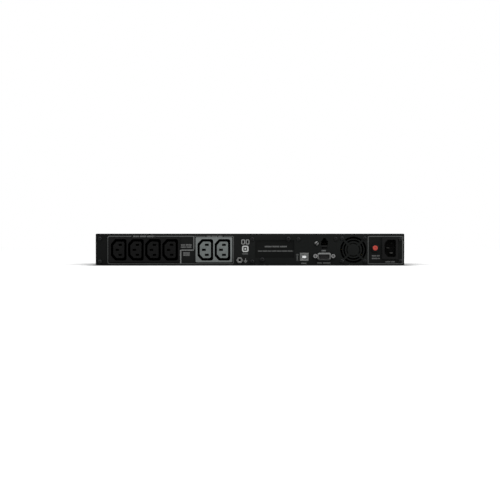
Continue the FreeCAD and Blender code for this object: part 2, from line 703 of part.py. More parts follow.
# ---------------------------------------------------------------- fan
def turned_about_fan(shape, angle):
    """Turns a shape built about the Y axis, then moves it onto the fan's axis."""
    shape.rotate(vec(0, 0, 0), vec(0, 1, 0), angle)
    shape.translate(vec(FAN[0], 0, FAN[1]))
    return shape


def fan_frame():
    half = FAN_SIZE / 2
    frame = rounded_y(FAN, half, half, 3.0, REAR_IN, REAR_IN + 20.0)
    frame = frame.cut(cyl_y(19.0, FAN, REAR_IN - 1, REAR_IN + 21))
    parts = [frame, cyl_y(9.4, FAN, REAR_IN + 17.0, REAR_IN + 20.0)]
    for angle in (20, 110, 200, 290):
        strut = box(8.5, 19.6, REAR_IN + 17.2, REAR_IN + 20.0, -1.3, 1.3)
        parts.append(turned_about_fan(strut, angle))
    parts.append(cyl_y(3.2, FAN, REAR_IN + 5.0, REAR_IN + 17.2))
    tools = [cyl_y(2.5, FAN, REAR_IN + 3, REAR_IN + 18.6)]
    tools += holes_y(1.65, FAN_HOLES, REAR_IN - 1, REAR_IN + 22)
    return cut(fuse(parts), tools)


def fan_bearing():
    sleeve = cyl_y(2.48, FAN, REAR_IN + 5.2, REAR_IN + 18.4)
    return sleeve.cut(cyl_y(1.04, FAN, REAR_IN + 4, REAR_IN + 20))


def fan_stator():
    """Four poles round the bearing tube, each ending in a curved shoe."""
    y0, y1 = REAR_IN + 8.0, REAR_IN + 14.0
    parts = [cyl_y(5.0, FAN, REAR_IN + 7.0, REAR_IN + 15.0)]
    for angle in (0, 90, 180, 270):
        shoe = cyl_y(8.6, (0, 0), y0, y1).cut(cyl_y(7.3, (0, 0), y0 - 1, y1 + 1))
        shoe = shoe.common(box(3.0, 15.0, REAR_IN + 6, REAR_IN + 16, -5.0, 5.0))
        pole = fuse([box(4.0, 7.6, y0, y1, -1.6, 1.6), shoe.Solids[0]])
        parts.append(turned_about_fan(pole, angle))
    return fuse(parts).cut(cyl_y(3.23, FAN, REAR_IN, REAR_IN + 20))


# blade sections: radius, sweep round the axis, chord angle from the axis (degrees)
BLADE_SECTIONS = ((10.0, 0.0, 48.0), (14.4, 4.0, 40.0), (18.2, 9.0, 33.0))
BLADE_T = 1.1
BLADE_COUNT = 7


def fan_blade():
    """One blade about the Y axis, lofted through its flat sections."""
    sections = []
    for radius, sweep, pitch in BLADE_SECTIONS:
        half_chord = (11.6 + (radius - 10) * 0.25) / 2
        half_t = BLADE_T / 2
        sweep = math.radians(sweep)
        pitch = math.radians(pitch)
        points = []
        for along, across in ((-half_chord, -half_t), (half_chord, -half_t),
                              (half_chord, half_t), (-half_chord, half_t)):
            axial = along * math.cos(pitch) - across * math.sin(pitch)
            tangent = along * math.sin(pitch) + across * math.cos(pitch)
            x = radius * math.cos(sweep) - tangent * math.sin(sweep)
            z = radius * math.sin(sweep) + tangent * math.cos(sweep)
            points.append(vec(x, REAR_IN + 9.0 + axial, z))
        points.append(points[0])
        sections.append(Part.makePolygon(points))
    return Part.makeLoft(sections, True, True)


def fan_rotor():
    cup = cyl_y(10.6, FAN, REAR_IN + 2.2, REAR_IN + 15.6)
    cup = cup.cut(cyl_y(9.3, FAN, REAR_IN + 3.6, REAR_IN + 17))
    shaft = cyl_y(1.0, FAN, REAR_IN + 3.0, REAR_IN + 18.0)
    swept_ring = cyl_y(18.35, FAN, REAR_IN + 2.0, REAR_IN + 16.2)
    swept_ring = swept_ring.cut(cyl_y(9.9, FAN, REAR_IN, REAR_IN + 20))
    parts = [cup, shaft]
    for i in range(BLADE_COUNT):
        blade = turned_about_fan(fan_blade(), i * 360.0 / BLADE_COUNT)
        parts += blade.common(swept_ring).Solids
    return fuse(parts)


def fan_screws():
    screw = pan_screw(2.85, 2.0, 1.45, 24.5)
    nut = hexagon(5.5, 2.4, 1.5)
    shapes = []
    for at in FAN_HOLES:
        shapes += place_y(screw, [at], REAR, TO_REAR)
        shapes += place_y(nut, [at], REAR_IN + 20.0, TO_FRONT)
    return shapes


# ---------------------------------------------------------------- boards
UI_BACK = FRONT + 4.0       # rear face of the control board
UI_FACE = UI_BACK + 1.6     # front face of the control board
BOSSES = [(114.4, -16.3), (114.4, 16.3), (211.9, -16.4), (211.9, 16.4)]     # (x, z)


def main_board():
    z0, z1 = BOARD_Z0, BOARD_Z1
    board = box(-204.0, 124.0, -334.0, -228.0, z0, z1)
    board = board.cut(box(-205, -150, -240, -227, z0 - 1, z1 + 1))
    board = cut(board, [cyl_z(1.6, at, z0 - 1, z1 + 1) for at in POSTS])
    # upright card with its chips on the front face, and flat chips on the board
    return [
        board,
        box(-168, -92, -262, -260.4, z1, 15.0),
        box(-150, -136, -260.35, -258.4, -4, 10),
        box(-122, -110, -260.35, -258.6, -6, 6),
        box(-106, -98, -260.35, -258.6, 0, 8),
        box(-40, -30, -246, -236, z1, z1 + 1.4),
        box(0, 8, -250, -240, z1, z1 + 1.6),
        box(-84, -74, -290, -282, z1, z1 + 1.2),
    ]


def board_mounts():
    post = hexagon(5.0, BOARD_Z0 - FLOOR, 1.25)
    standoff = hexagon(5.0, COMM_Y0 - REAR_IN, 1.42)
    board_screw = pan_screw(2.6, 1.7, 1.2, 5.5)
    bezel_screw = pan_screw(2.3, 1.5, 1.0, 7.0)
    mounts = [place(post, (x, y, FLOOR), UP) for x, y in POSTS]
    mounts += place_y(standoff, COMM_SCREWS + [COMM_EARTH], REAR_IN, TO_FRONT)
    mounts += [place(board_screw, (x, y, BOARD_Z1), UP) for x, y in POSTS]
    mounts += place_y(bezel_screw, BOSSES, UI_BACK, TO_REAR)
    return mounts


def heatsinks():
    """Two sinks with the fins along Y."""
    fin_t = 1.5
    base = BOARD_Z1 + 0.3
    sinks = []
    for x0, x1, y0, y1, top in ((68.0, 106.0, -322.0, -244.0, 16.0),
                                (-60.0, -28.0, -322.0, -262.0, 12.0)):
        parts = [box(x0, x1, y0, y1, base, base + 4.0)]
        gaps = int((x1 - x0 - 2) / 4.6)
        pitch = (x1 - x0 - fin_t) / gaps
        for i in range(gaps + 1):
            x = x0 + i * pitch
            parts.append(box(x, x + fin_t, y0, y1, base + 3.9, top))
        sinks.append(fuse(parts))
    return sinks


def power_transistors():
    """A row of packages beside each heatsink."""
    return [box(x0, x1, -316.0 + i * pitch, -305.8 + i * pitch, -7.0, 8.5)
            for x0, x1, count, pitch in ((63.2, 67.95, 5, 15.0), (-65.0, -60.05, 3, 17.0))
            for i in range(count)]


def capacitors():
    caps = []
    for at in ((20, -290), (20, -268), (43, -290), (43, -268), (-4, -290)):
        can = cyl_z(9.5, at, BOARD_Z1, 15.5)
        rims = [edge for edge in can.Edges if edge.BoundBox.ZLength < 0.01]
        caps.append(can.makeFillet(0.8, rims))
    caps.append(rounded(-26, -4, -262, -252, 0.8, "xy", BOARD_Z1, BOARD_Z1 + 14.0))
    return caps


def relays():
    plans = [(x, x + 28.5, -331.0, -318.4) for x in (-188.0, -153.0, -118.0)]
    plans.append((-80.0, -67.2, -331, -302.5))
    return [rounded(*plan, 0.6, "xy", BOARD_Z1, BOARD_Z1 + 15.6) for plan in plans]


def filter_chokes():
    radius = 5.2
    return [Part.makeTorus(12.5, radius, vec(x, -289, BOARD_Z1 + radius + 0.2))
            for x in (-107, -146)]


# ---------------------------------------------------------------- transformer
TRANSFORMER = (158.5, -92.0)    # (x, y) of its vertical axis
COIL_R = 53.0
COIL_Z0 = -19.8
COIL_Z1 = 13.2


def transformer_coil():
    bore, round_out = 17.0, 9.0
    round_in = round_out * 0.7
    section = polygon_face([
        (bore, COIL_Z0, round_in), (COIL_R, COIL_Z0, round_out),
        (COIL_R, COIL_Z1, round_out), (bore, COIL_Z1, round_in),
    ], "xz", 0)
    coil = outward(section.revolve(vec(0, 0, 0), vec(0, 0, 1), 360))
    coil.translate(vec(*TRANSFORMER, 0))
    return coil


def transformer_pads():
    return [cyl_z(46.0, TRANSFORMER, z0, z1).cut(cyl_z(6.0, TRANSFORMER, z0 - 1, z1 + 1))
            for z0, z1 in ((FLOOR, COIL_Z0), (COIL_Z1, COIL_Z1 + 1.0))]


def transformer_clamp():
    plate_top = COIL_Z1 + 2.4
    plate = cyl_z(34.0, TRANSFORMER, COIL_Z1 + 1.0, plate_top)
    plate = plate.cut(cyl_z(4.1, TRANSFORMER, COIL_Z1, COIL_Z1 + 4))
    nut = place(hexagon(13.0, 4.0, 3.95), (*TRANSFORMER, plate_top), UP)
    stud = cyl_z(3.9, TRANSFORMER, FLOOR, COIL_Z1 + 6.9)
    return [plate, nut, stud]


# ---------------------------------------------------------------- battery bay
BULKHEAD_X = 99.6           # inner face of the bulkhead's side wall
BULKHEAD_Y = -210.0         # rear face of its rear wall
PLUG = (-45.0, 0.0)         # centre of the blind-mate connector (x, z)
PLUG_CONTACTS = [(PLUG[0] + dx, PLUG[1]) for dx in (-7.0, 7.0)]
TRAY_X0, TRAY_X1 = -207.2, 98.6
TRAY_REAR = -205.5
TRAY_BASE = FLOOR + 0.25    # underside of the battery tray
TRAY_SHEET = 1.0

BLOCK_W = 151.2
BLOCK_L = 94.0
BLOCK_X = (-205.9, -54.3)                   # left side of each column of blocks
BLOCK_ROWS = ((-110.2, 1), (-96.0, -1))     # y of the terminal end, the way it faces
BLOCK_BASE = TRAY_BASE + 1.02
BLOCK_TOP = BLOCK_BASE + 33.8
BLADE_INSETS = (19.0, BLOCK_W - 19.0)       # terminals, from the block's left side
BLADE_Z = BLOCK_TOP - 8.0


def battery_bulkhead():
    y, top = BULKHEAD_Y, 17.5
    parts = [
        box(BULKHEAD_X, BULKHEAD_X + 1.0, y, 0.7, FLOOR, top),
        box(-213.4, BULKHEAD_X + 1.0, y, y + 1.0, FLOOR, top),
    ]
    for x, foot_y in REAR_FEET:
        parts.append(box(x - 9, x + 9, y - 9.0, y + 0.5, FLOOR, FLOOR + 1.0))
    for x, foot_y in SIDE_FEET:
        parts.append(box(BULKHEAD_X + 0.5, BULKHEAD_X + 10.5, foot_y - 9, foot_y + 9,
                         FLOOR, FLOOR + 1.0))
    tools = [cyl_z(1.45, at, FLOOR - 1, FLOOR + 3) for at in REAR_FEET + SIDE_FEET]
    tools.append(rounded_y(PLUG, 14.0, 8.0, 1.0, y - 2, y + 2))
    tools.append(rounded(20.0, 50.0, 6.0, 14.0, 2.0, "xz", y - 2, y + 2))
    return cut(fuse(parts), tools)


def battery_socket():
    """Fixed half of the blind-mate connector, behind the bulkhead."""
    housing = rounded_y(PLUG, 18.0, 11.0, 1.5, -221.5, BULKHEAD_Y)
    return housing.cut(rounded_y(PLUG, 13.6, 7.6, 1.0, -219.5, -209.0))


def battery_plug():
    """Sliding half of the blind-mate connector, on the tray."""
    plug = rounded_y(PLUG, 13.0, 7.0, 0.8, -217.5, TRAY_REAR)
    return cut(plug, [block_y(at, 3.4, 1.4, -218.5, -211.6) for at in PLUG_CONTACTS])


def battery_tray():
    x0, x1, y0, y1 = TRAY_X0, TRAY_X1, TRAY_REAR, FRONT + 0.3
    base, sheet = TRAY_BASE, TRAY_SHEET
    tray = fuse([
        box(x0, x1, y0, y1, base, base + sheet),
        box(x0, x0 + sheet, y0, y1, base, 6.0),
        box(x1 - sheet, x1, y0, y1, base, 6.0),
        box(x0, x1, y0, y0 + sheet, base, 13.5),
        rounded(-213.7, 106.0, -19.2, 19.0, 1.5, "xz", BEZEL_BACK, PLATE_FACE),
    ])
    tools = [rounded_y(PLUG, 12.0, 6.0, 0.5, y0 - 1, y0 + 2)]
    tools += holes_y(1.7, LATCHES, FRONT, FRONT + 3)
    # four large openings in the floor
    for x in (-182.0, -30.0):
        for y in (-176.0, -80.0):
            tools.append(rounded(x, x + 100, y, y + 44, 8.0, "xy", base - 1, base + 2))
    tools += holes_y(1.6, HANDLE_SCREWS, FRONT, FRONT + 3)
    # two rows of air slots in the front plate, either side of the handle
    for x in [*range(-200, -90, 14), *range(6, 90, 14)]:
        for z in (-13.0, 7.0):
            tools.append(rounded(x, x + 9.0, z, z + 6.0, 2.0, "xz", FRONT - 1, FRONT + 3))
    return cut(tray, tools)


def battery_blocks():
    """Four blocks in two rows, terminals towards the gap between the rows."""
    blocks = []
    for x in BLOCK_X:
        for end, facing in BLOCK_ROWS:
            block = rounded(x, x + BLOCK_W, BLOCK_BASE, BLOCK_TOP, 1.6, "xz",
                            *span(facing, -BLOCK_L, 0.0, end))
            # terminal steps
            for inset in BLADE_INSETS:
                blade_x = x + inset
                block = block.cut(box(blade_x - 9, blade_x + 9, *span(facing, -6.0, 1, end),
                                      BLOCK_TOP - 14.0, BLOCK_TOP + 1))
            # shallow seam groove round the lid
            seam_y = end - facing * 9.0
            seam = rounded(x - 1, x + BLOCK_W + 1, BLOCK_BASE - 1, BLOCK_TOP + 1, 1.6, "xz",
                           seam_y - 0.3, seam_y + 0.3)
            seam = seam.cut(rounded(
                x + 0.35, x + BLOCK_W - 0.35, BLOCK_BASE + 0.35, BLOCK_TOP - 0.35, 1.4, "xz",
                seam_y - 1, seam_y + 1))
            blocks.append(block.cut(seam))
    return blocks


def battery_leads():
    blades, sleeves = [], []
    for x in BLOCK_X:
        for end, facing in BLOCK_ROWS:
            for inset in BLADE_INSETS:
                at = (x + inset, BLADE_Z)
                blades.append(block_y(at, 2.4, 0.4, *span(facing, -6.0, -0.2, end)))
                # push-on sleeve round the blade
                sleeve = rounded_y(at, 3.5, 1.7, 0.8, *span(facing, -5.2, 3.0, end))
                bore = block_y(at, 2.45, 0.45, *span(facing, -7.0, 0.4, end))
                sleeves.append(sleeve.cut(bore))

    radius = 1.3
    z = BLADE_Z
    over = BLOCK_TOP + 1.9      # height of the runs over the rear blocks
    drop_y = -207.3             # behind the tray, where the leads turn down to the plug
    outer_left, inner_left, inner_right, outer_right = [
        x + inset for x in BLOCK_X for inset in BLADE_INSETS]
    # for each row: y where the sleeves end, y of the wire lane in the gap
    rows = [(end + facing * 3.0, end + facing * 5.3) for end, facing in BLOCK_ROWS]
    # link across each row, link between the rows, then the pair of leads to the plug
    wires = [wire([(inner_left, start, z), (inner_left, lane, z),
                   (inner_right, lane, z), (inner_right, start, z)], radius, 2.0)
             for start, lane in rows]
    wires.append(wire([(outer_right, start, z) for start, lane in rows], radius))
    for (start, lane), plug_x in zip(rows, (PLUG[0] - 4.0, PLUG[0] + 4.0)):
        wires.append(wire([
            (outer_left, start, z), (outer_left, lane, z), (outer_left, lane, over),
            (plug_x, lane, over), (plug_x, drop_y, over), (plug_x, drop_y, 7.0),
        ], radius, 2.2))
    return blades + sleeves + wires


def tray_handle():
    back, face = PLATE_FACE, FRONT + 13.0
    foot_face = back + 1.5
    left, right = HANDLE_SCREWS[0][0], HANDLE_SCREWS[1][0]
    x0, x1 = left - 7.0, right + 7.0
    handle = fuse([
        box(x0, x1, face - 2.0, face, -5.0, 5.0),
        box(x0, x0 + 2.0, back, face, -5.0, 5.0),
        box(x1 - 2.0, x1, back, face, -5.0, 5.0),
        box(x0, left + 4.0, back, foot_face, -5, 5),
        box(right - 4.0, x1, back, foot_face, -5, 5),
    ])
    return cut(handle, holes_y(1.6, HANDLE_SCREWS, back - 1, back + 3))


def tray_screws():
    handle_screw = pan_screw(2.8, 1.8, 1.5, 4.0)
    # slotted screw that holds the tray shut
    slot = Part.makeBox(9, 0.9, 2, vec(-4.5, -0.45, 4.6))
    head = Part.makeCylinder(2.7, 6.0).cut(slot)
    latch = fuse([head, Part.makeCylinder(1.5, 6.0, vec(0, 0, -6.0))])
    return (place_y(handle_screw, HANDLE_SCREWS, PLATE_FACE + 1.5, TO_FRONT)
            + place_y(latch, LATCHES, PLATE_FACE, TO_FRONT))


# ---------------------------------------------------------------- front bezels
BEZEL_TOP = 21.7
FASCIA_X = (-SIDE + 0.1, 108.4)
CONTROL_X = (108.8, SIDE - 0.1)
FASCIA_PEGS = (-195.5, -111.5, 10.5, 80.5)
POWER_BUTTON = (199.0, 6.5)
DISPLAY_BUTTON = (191.6, -10.2)
MUTE_BUTTON = (206.4, -10.2)
SMALL_BUTTONS = [DISPLAY_BUTTON, MUTE_BUTTON]
LCD = (150.0, 0.0)
LCD_HALF_W = 32.0
LCD_HALF_H = 12.0
CAP_BACK = BEZEL_FACE - BEZEL_T - 0.5 - 2.5     # rear face of the small button caps


def bezel_skin(x0, x1, back):
    """Hollow bezel, open to the rear, with rounded upper and lower front edges."""
    radius, wall = 6.0, BEZEL_T
    top, face = BEZEL_TOP, BEZEL_FACE
    outer = prism([(back, -top), (face, -top, radius), (face, top, radius), (back, top)],
                  "yz", x0, x1)
    top, face, radius = top - wall, face - wall, radius - wall
    inner = prism([(back - 1, -top), (face, -top, radius), (face, top, radius),
                   (back - 1, top)], "yz", x0 + wall, x1 - wall)
    return outer.cut(inner)


def battery_fascia():
    """Fascia over the battery tray."""
    skin = bezel_skin(*FASCIA_X, BEZEL_BACK + 1.4)
    # slanted intake slots in two fields of three rows
    slots = []
    for field_x, count in ((-200.0, 16), (-8.0, 11)):
        for row in range(3):
            for i in range(count):
                x = field_x + i * 9.0 + row * 2.0
                z = -12.6 + row * 8.8
                slots.append(prism([
                    (x, z, 0.8), (x + 4.6, z, 0.8),
                    (x + 6.7, z + 7.0, 0.8), (x + 2.1, z + 7.0, 0.8),
                ], "xz", BEZEL_FACE - 4, BEZEL_FACE + 2))
    # pegs that enter the slots of the tray's front plate
    pegs = [block_y((x, z), 2.5, 1.4, BEZEL_BACK - 0.4, BEZEL_FACE - 2.0)
            for x in FASCIA_PEGS for z in (10.0, -10.0)]
    return fuse([cut(skin, slots)] + pegs)


def control_bezel():
    parts = [bezel_skin(*CONTROL_X, BEZEL_BACK)]
    parts += holes_y(2.6, BOSSES, UI_FACE, BEZEL_FACE - 2.0)
    # hooks that reach through the chassis wall and catch behind it
    hook_end = FRONT - 2.4
    for x in HOOK_X:
        for side in (-1, 1):
            parts.append(box(x - 3, x + 3, hook_end, BEZEL_FACE - 2.0,
                             *span(side, 16.4, 17.6)))
            parts.append(box(x - 3, x + 3, hook_end, FRONT - 1.3, *span(side, 17.5, 18.3)))
    y0, y1 = BEZEL_FACE - 4, BEZEL_FACE + 1
    tools = [
        rounded_y(LCD, LCD_HALF_W + 0.1, LCD_HALF_H + 0.1, 2.0, BEZEL_FACE - 1.3, y1),
        rounded_y(LCD, LCD_HALF_W - 4.0, LCD_HALF_H - 3.0, 1.0, y0, y1),
        cyl_y(6.15, POWER_BUTTON, y0, y1),
        # shallow ring round the power button
        cyl_y(7.6, POWER_BUTTON, BEZEL_FACE - 0.6, y1),
    ]
    tools += [rounded_y(at, 5.15, 2.65, 1.6, y0, y1) for at in SMALL_BUTTONS]
    tools += holes_y(1.05, BOSSES, FRONT + 4, BEZEL_FACE - 4.5)
    return cut(fuse(parts), tools)


def lcd_lens():
    return rounded_y(LCD, LCD_HALF_W, LCD_HALF_H, 1.9, BEZEL_FACE - 1.25, BEZEL_FACE + 0.05)


def lcd_module():
    return rounded_y(LCD, LCD_HALF_W - 1.5, LCD_HALF_H - 0.6, 0.6,
                     FRONT + 8.0, BEZEL_FACE - 2.3)


def ui_board():
    """Control board with its three switches, and a block on the rear face."""
    y0, y1 = UI_BACK, UI_FACE
    board = rounded(111.6, 213.8, -18.8, 18.8, 1.0, "xz", y0, y1)
    tools = holes_y(1.2, BOSSES, y0 - 1, y1 + 1)
    for x in HOOK_X:
        for side in (1, -1):
            tools.append(box(x - 3.6, x + 3.6, y0 - 1, y1 + 1, *span(side, 15.9, 19.5)))
    switches = [fuse([block_y(at, 3, 2.6, y1, y1 + 2.6), cyl_y(1.4, at, y1 + 2.5, y1 + 3.3)])
                for at in [POWER_BUTTON] + SMALL_BUTTONS]
    return [cut(board, tools)] + switches + [box(130, 160, y0 - 3.0, y0, -4, 2)]


def power_button():
    """Cap with a ring groove in its face, and a foot flange behind the bezel wall."""
    length, foot_t = 7.4, 1.2
    cap = Part.makeCylinder(6.0, length)
    cap = cap.makeFillet(0.7, top_rim(cap, length))
    foot = Part.makeCylinder(7.0, foot_t)
    stem = Part.makeCylinder(1.6, 4.0, vec(0, 0, -3.48))
    groove = Part.makeCylinder(3.4, 2.0, vec(0, 0, 6.95))
    groove = groove.cut(Part.makeCylinder(2.5, 3.0, vec(0, 0, 6.5)))
    button = fuse([cap, foot, stem]).cut(groove)
    return place_y(button, [POWER_BUTTON], CAP_BACK - foot_t, TO_FRONT)


def small_button(at):
    """Oblong cap with a foot flange and a stem."""
    return fuse([
        rounded_y(at, 5.0, 2.5, 1.5, CAP_BACK, BEZEL_FACE + 0.5),
        rounded_y(at, 5.9, 3.3, 1.2, CAP_BACK - 1.0, CAP_BACK + 0.2),
        cyl_y(1.2, at, UI_FACE + 4.12, CAP_BACK),
    ])


# ---------------------------------------------------------------- rack ears
EAR_HALF_H = 21.6
EAR_REAR = -46.0
EAR_INNER = SIDE + 0.03     # side face against the cover
EAR_OUTER = EAR_INNER + EAR_T


def rack_ear(side):
    """Angled ear; side is +1 for the right one, -1 for the left one."""
    inner, outer, edge = side * EAR_INNER, side * EAR_OUTER, side * EARS_W / 2
    outline = [(inner, EAR_REAR), (inner, EAR_T, 1.6), (edge, EAR_T), (edge, 0.0),
               (outer, 0.0, 0.6), (outer, EAR_REAR)]
    if side < 0:
        outline.reverse()
    ear = prism(outline, "xy", -EAR_HALF_H, EAR_HALF_H)
    tools = []
    round_r = 3.0
    for up in (-1, 1):
        slot_at = (side * RACK_SPAN / 2, up * RACK_PITCH / 2)
        half_w = EAR_SLOT_W / 2
        # the radius stays just short of half the width, so the ends keep a short flat
        tools.append(rounded_y(slot_at, EAR_SLOT_L / 2, half_w, half_w - 1e-4, -2, 5))
        # rounding of the outer corner
        corner = box(*span(side, EARS_W / 2 - round_r, EARS_W / 2), -1, 4,
                     *span(up, EAR_HALF_H - round_r, EAR_HALF_H))
        centre = (edge - side * round_r, up * (EAR_HALF_H - round_r))
        tools.append(corner.cut(cyl_y(round_r, centre, -2, 5)))
    for y, z in EAR_SCREWS:
        axis = vec(side, 0, 0)
        tools.append(Part.makeCone(2.1, 4.1, 2.02, vec(inner, y, z), axis))
        tools.append(Part.makeCylinder(2.1, 4, vec(inner - side, y, z), axis))
    return cut(ear, tools)


def case_screws():
    ear_screw = flat_screw(3.95, 1.95, 1.9, 8.0)
    side_screw = pan_screw(2.9, 1.3, 1.4, 4.6)
    top_screw = flat_screw(2.6, 1.05, 1.3, 3.6)
    screws = []
    for screw, face, places in ((ear_screw, EAR_OUTER, EAR_SCREWS),
                                (side_screw, SIDE, SIDE_SCREWS)):
        for side in (1, -1):
            screws += [place(screw, (side * face, y, z), (side, 0, 0)) for y, z in places]
    screws += [place(top_screw, (x, TOP_SCREW_Y, TOP), UP) for x in TOP_SCREW_X]
    return screws


# ---------------------------------------------------------------- wiring
def power_wiring():
    board = BOARD_Z1
    (inlet_x, upper_z), (_, lower_z), _ = blade_places(*INLET)
    inlet_y = REAR + 29.0
    breaker_x, breaker_z = BREAKER
    wires = [
        # inlet to board
        wire([(inlet_x, inlet_y, upper_z), (inlet_x, REAR + 48.0, upper_z),
              (150.0, REAR + 66.0, 12.0), (112.0, REAR + 78.0, 4.0),
              (112.0, REAR + 78.0, board)], 1.4, 5.0),
        # inlet to breaker
        wire([(inlet_x, inlet_y, lower_z), (inlet_x, REAR + 47.0, lower_z),
              (breaker_x, REAR + 47.0, breaker_z - 7.5),
              (breaker_x, REAR + 39.0, breaker_z - 7.5)], 1.4, 3.0),
        # breaker to board
        wire([(breaker_x, REAR + 39.0, breaker_z + 7.5),
              (breaker_x, REAR + 50.0, breaker_z + 7.5), (140.0, REAR + 70.0, -2.0),
              (111.0, REAR + 92.0, -4.0), (111.0, REAR + 92.0, board)], 1.4, 4.0),
    ]
    # transformer taps, from the outside of the winding down to the board
    centre_x, centre_y = TRANSFORMER
    for i in range(4):
        angle = math.radians(215.0 + 10.0 * i)
        points = [(centre_x + reach * math.cos(angle), centre_y + reach * math.sin(angle), -2.0)
                  for reach in (COIL_R + 0.03, COIL_R + 9.0)]
        x = 109.0 + i * 3.4
        points += [(x, -196.0, 3.0), (x, -240.0, 3.0), (x, -240.0, board)]
        wires.append(wire(points, 1.1, 4.0))
    return wires


# ---------------------------------------------------------------- output
# pieces whose file takes the name of the function that builds them
PIECES = [
    chassis_tray, top_cover, rear_panel, rear_panel_screws, grounding_screws,
    power_contacts, ac_inlet_shell, ac_inlet_pins, breaker_body, breaker_nut,
    breaker_button, usb_shell, usb_core, serial_shell, serial_core, serial_jackscrews,
    epo_jack, signal_contacts, comm_board, expansion_cover, expansion_card_guides,
    fan_frame, fan_bearing, fan_stator, fan_rotor, fan_screws, main_board, board_mounts,
    heatsinks, power_transistors, capacitors, relays, filter_chokes, transformer_coil,
    transformer_pads, transformer_clamp, battery_bulkhead, battery_socket, battery_plug,
    battery_tray, battery_blocks, battery_leads, tray_handle, tray_screws, battery_fascia,
    control_bezel, lcd_lens, lcd_module, ui_board, power_button, case_screws, power_wiring,
]

os.makedirs("parts", exist_ok=True)
for build in PIECES:
    save(build.__name__, build())
for bank, columns in (("main", MAIN_X), ("aux", AUX_X)):
    save("outlet_bank_" + bank + "_shell", outlet_shell(columns))
    save("outlet_bank_" + bank + "_core", outlet_core(columns))
save("display_button", small_button(DISPLAY_BUTTON))
save("mute_button", small_button(MUTE_BUTTON))
save("rack_ear_right", rack_ear(1))
save("rack_ear_left", rack_ear(-1))
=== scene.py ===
# A low rack-mount battery power unit, centred on the origin. Its width runs along X, the
# connector panel faces -Y and the front, with display and battery drawer, faces +Y. Sizes and
# places are in mm, and become metres where vertices, node values and the camera are set.
import bpy
import bmesh
import math
import random
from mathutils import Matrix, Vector

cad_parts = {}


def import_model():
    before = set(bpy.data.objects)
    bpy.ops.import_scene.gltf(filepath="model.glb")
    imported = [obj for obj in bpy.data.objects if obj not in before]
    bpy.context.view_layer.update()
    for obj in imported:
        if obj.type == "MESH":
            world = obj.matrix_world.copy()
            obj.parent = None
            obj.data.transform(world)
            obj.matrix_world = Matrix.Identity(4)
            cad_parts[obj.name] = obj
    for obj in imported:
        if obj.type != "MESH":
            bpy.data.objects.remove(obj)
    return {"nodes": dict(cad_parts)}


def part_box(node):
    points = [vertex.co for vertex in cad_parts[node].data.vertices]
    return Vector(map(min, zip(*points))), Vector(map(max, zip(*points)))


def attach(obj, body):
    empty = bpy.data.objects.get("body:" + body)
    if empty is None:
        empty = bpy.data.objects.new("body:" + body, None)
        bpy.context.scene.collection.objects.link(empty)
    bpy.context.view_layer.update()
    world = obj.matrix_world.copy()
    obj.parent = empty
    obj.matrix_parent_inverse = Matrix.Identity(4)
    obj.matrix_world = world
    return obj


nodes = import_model()["nodes"]
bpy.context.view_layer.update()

MM = 0.001


def box_mm(node):
    low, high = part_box(node)
    return [c * 1000 for c in low], [c * 1000 for c in high]


PANEL_Y = box_mm("rear_panel")[0][1]          # outer face of the connector panel
HALF_HEIGHT = box_mm("top_cover")[1][2]

# ------------------------------------------------------------------ node graphs
MATERIALS = {}                                # every material, by its own name
NOISE_SPAN = (0.3, 0.7)                       # the part of a noise that carries its pattern
SURFACE_SOCKETS = {
    "color": "Base Color", "metal": "Metallic", "rough": "Roughness",
    "spec": "Specular IOR Level", "trans": "Transmission Weight", "ior": "IOR",
    "emit": "Emission Color", "emit_strength": "Emission Strength",
}


class Graph:
    """A node tree built step by step. Any input takes a plain value or another node's output."""

    def __init__(self, owner):
        owner.use_nodes = True
        self.tree = owner.node_tree
        self.tree.nodes.clear()

    def feed(self, socket, value):
        if isinstance(value, bpy.types.NodeSocket):
            self.tree.links.new(value, socket)
        else:
            socket.default_value = value

    def node(self, kind, inputs=None, **settings):
        node = self.tree.nodes.new(kind)
        for key, value in settings.items():
            setattr(node, key, value)
        for socket, value in (inputs or {}).items():
            self.feed(node.inputs[socket], value)
        return node

    def remap(self, value, span, to=(0.0, 1.0)):
        """Stretch span onto to, clamped at both ends."""
        inputs = {"Value": value, "From Min": span[0], "From Max": span[1],
                  "To Min": to[0], "To Max": to[1]}
        return self.node("ShaderNodeMapRange", inputs).outputs[0]

    def math(self, operation, *values):
        inputs = dict(enumerate(values))
        return self.node("ShaderNodeMath", inputs, operation=operation).outputs[0]

    def multiply(self, product, *factors):
        for factor in factors:
            product = self.math("MULTIPLY", product, factor)
        return product

    def absolute(self, value):
        return self.math("ABSOLUTE", value, 0.0)

    def dot(self, a, b):
        inputs = {0: a, 1: b}
        return self.node("ShaderNodeVectorMath", inputs, operation="DOT_PRODUCT").outputs["Value"]

    def mix_shader(self, factor, first, second):
        return self.node("ShaderNodeMixShader", {0: factor, 1: first, 2: second}).outputs[0]


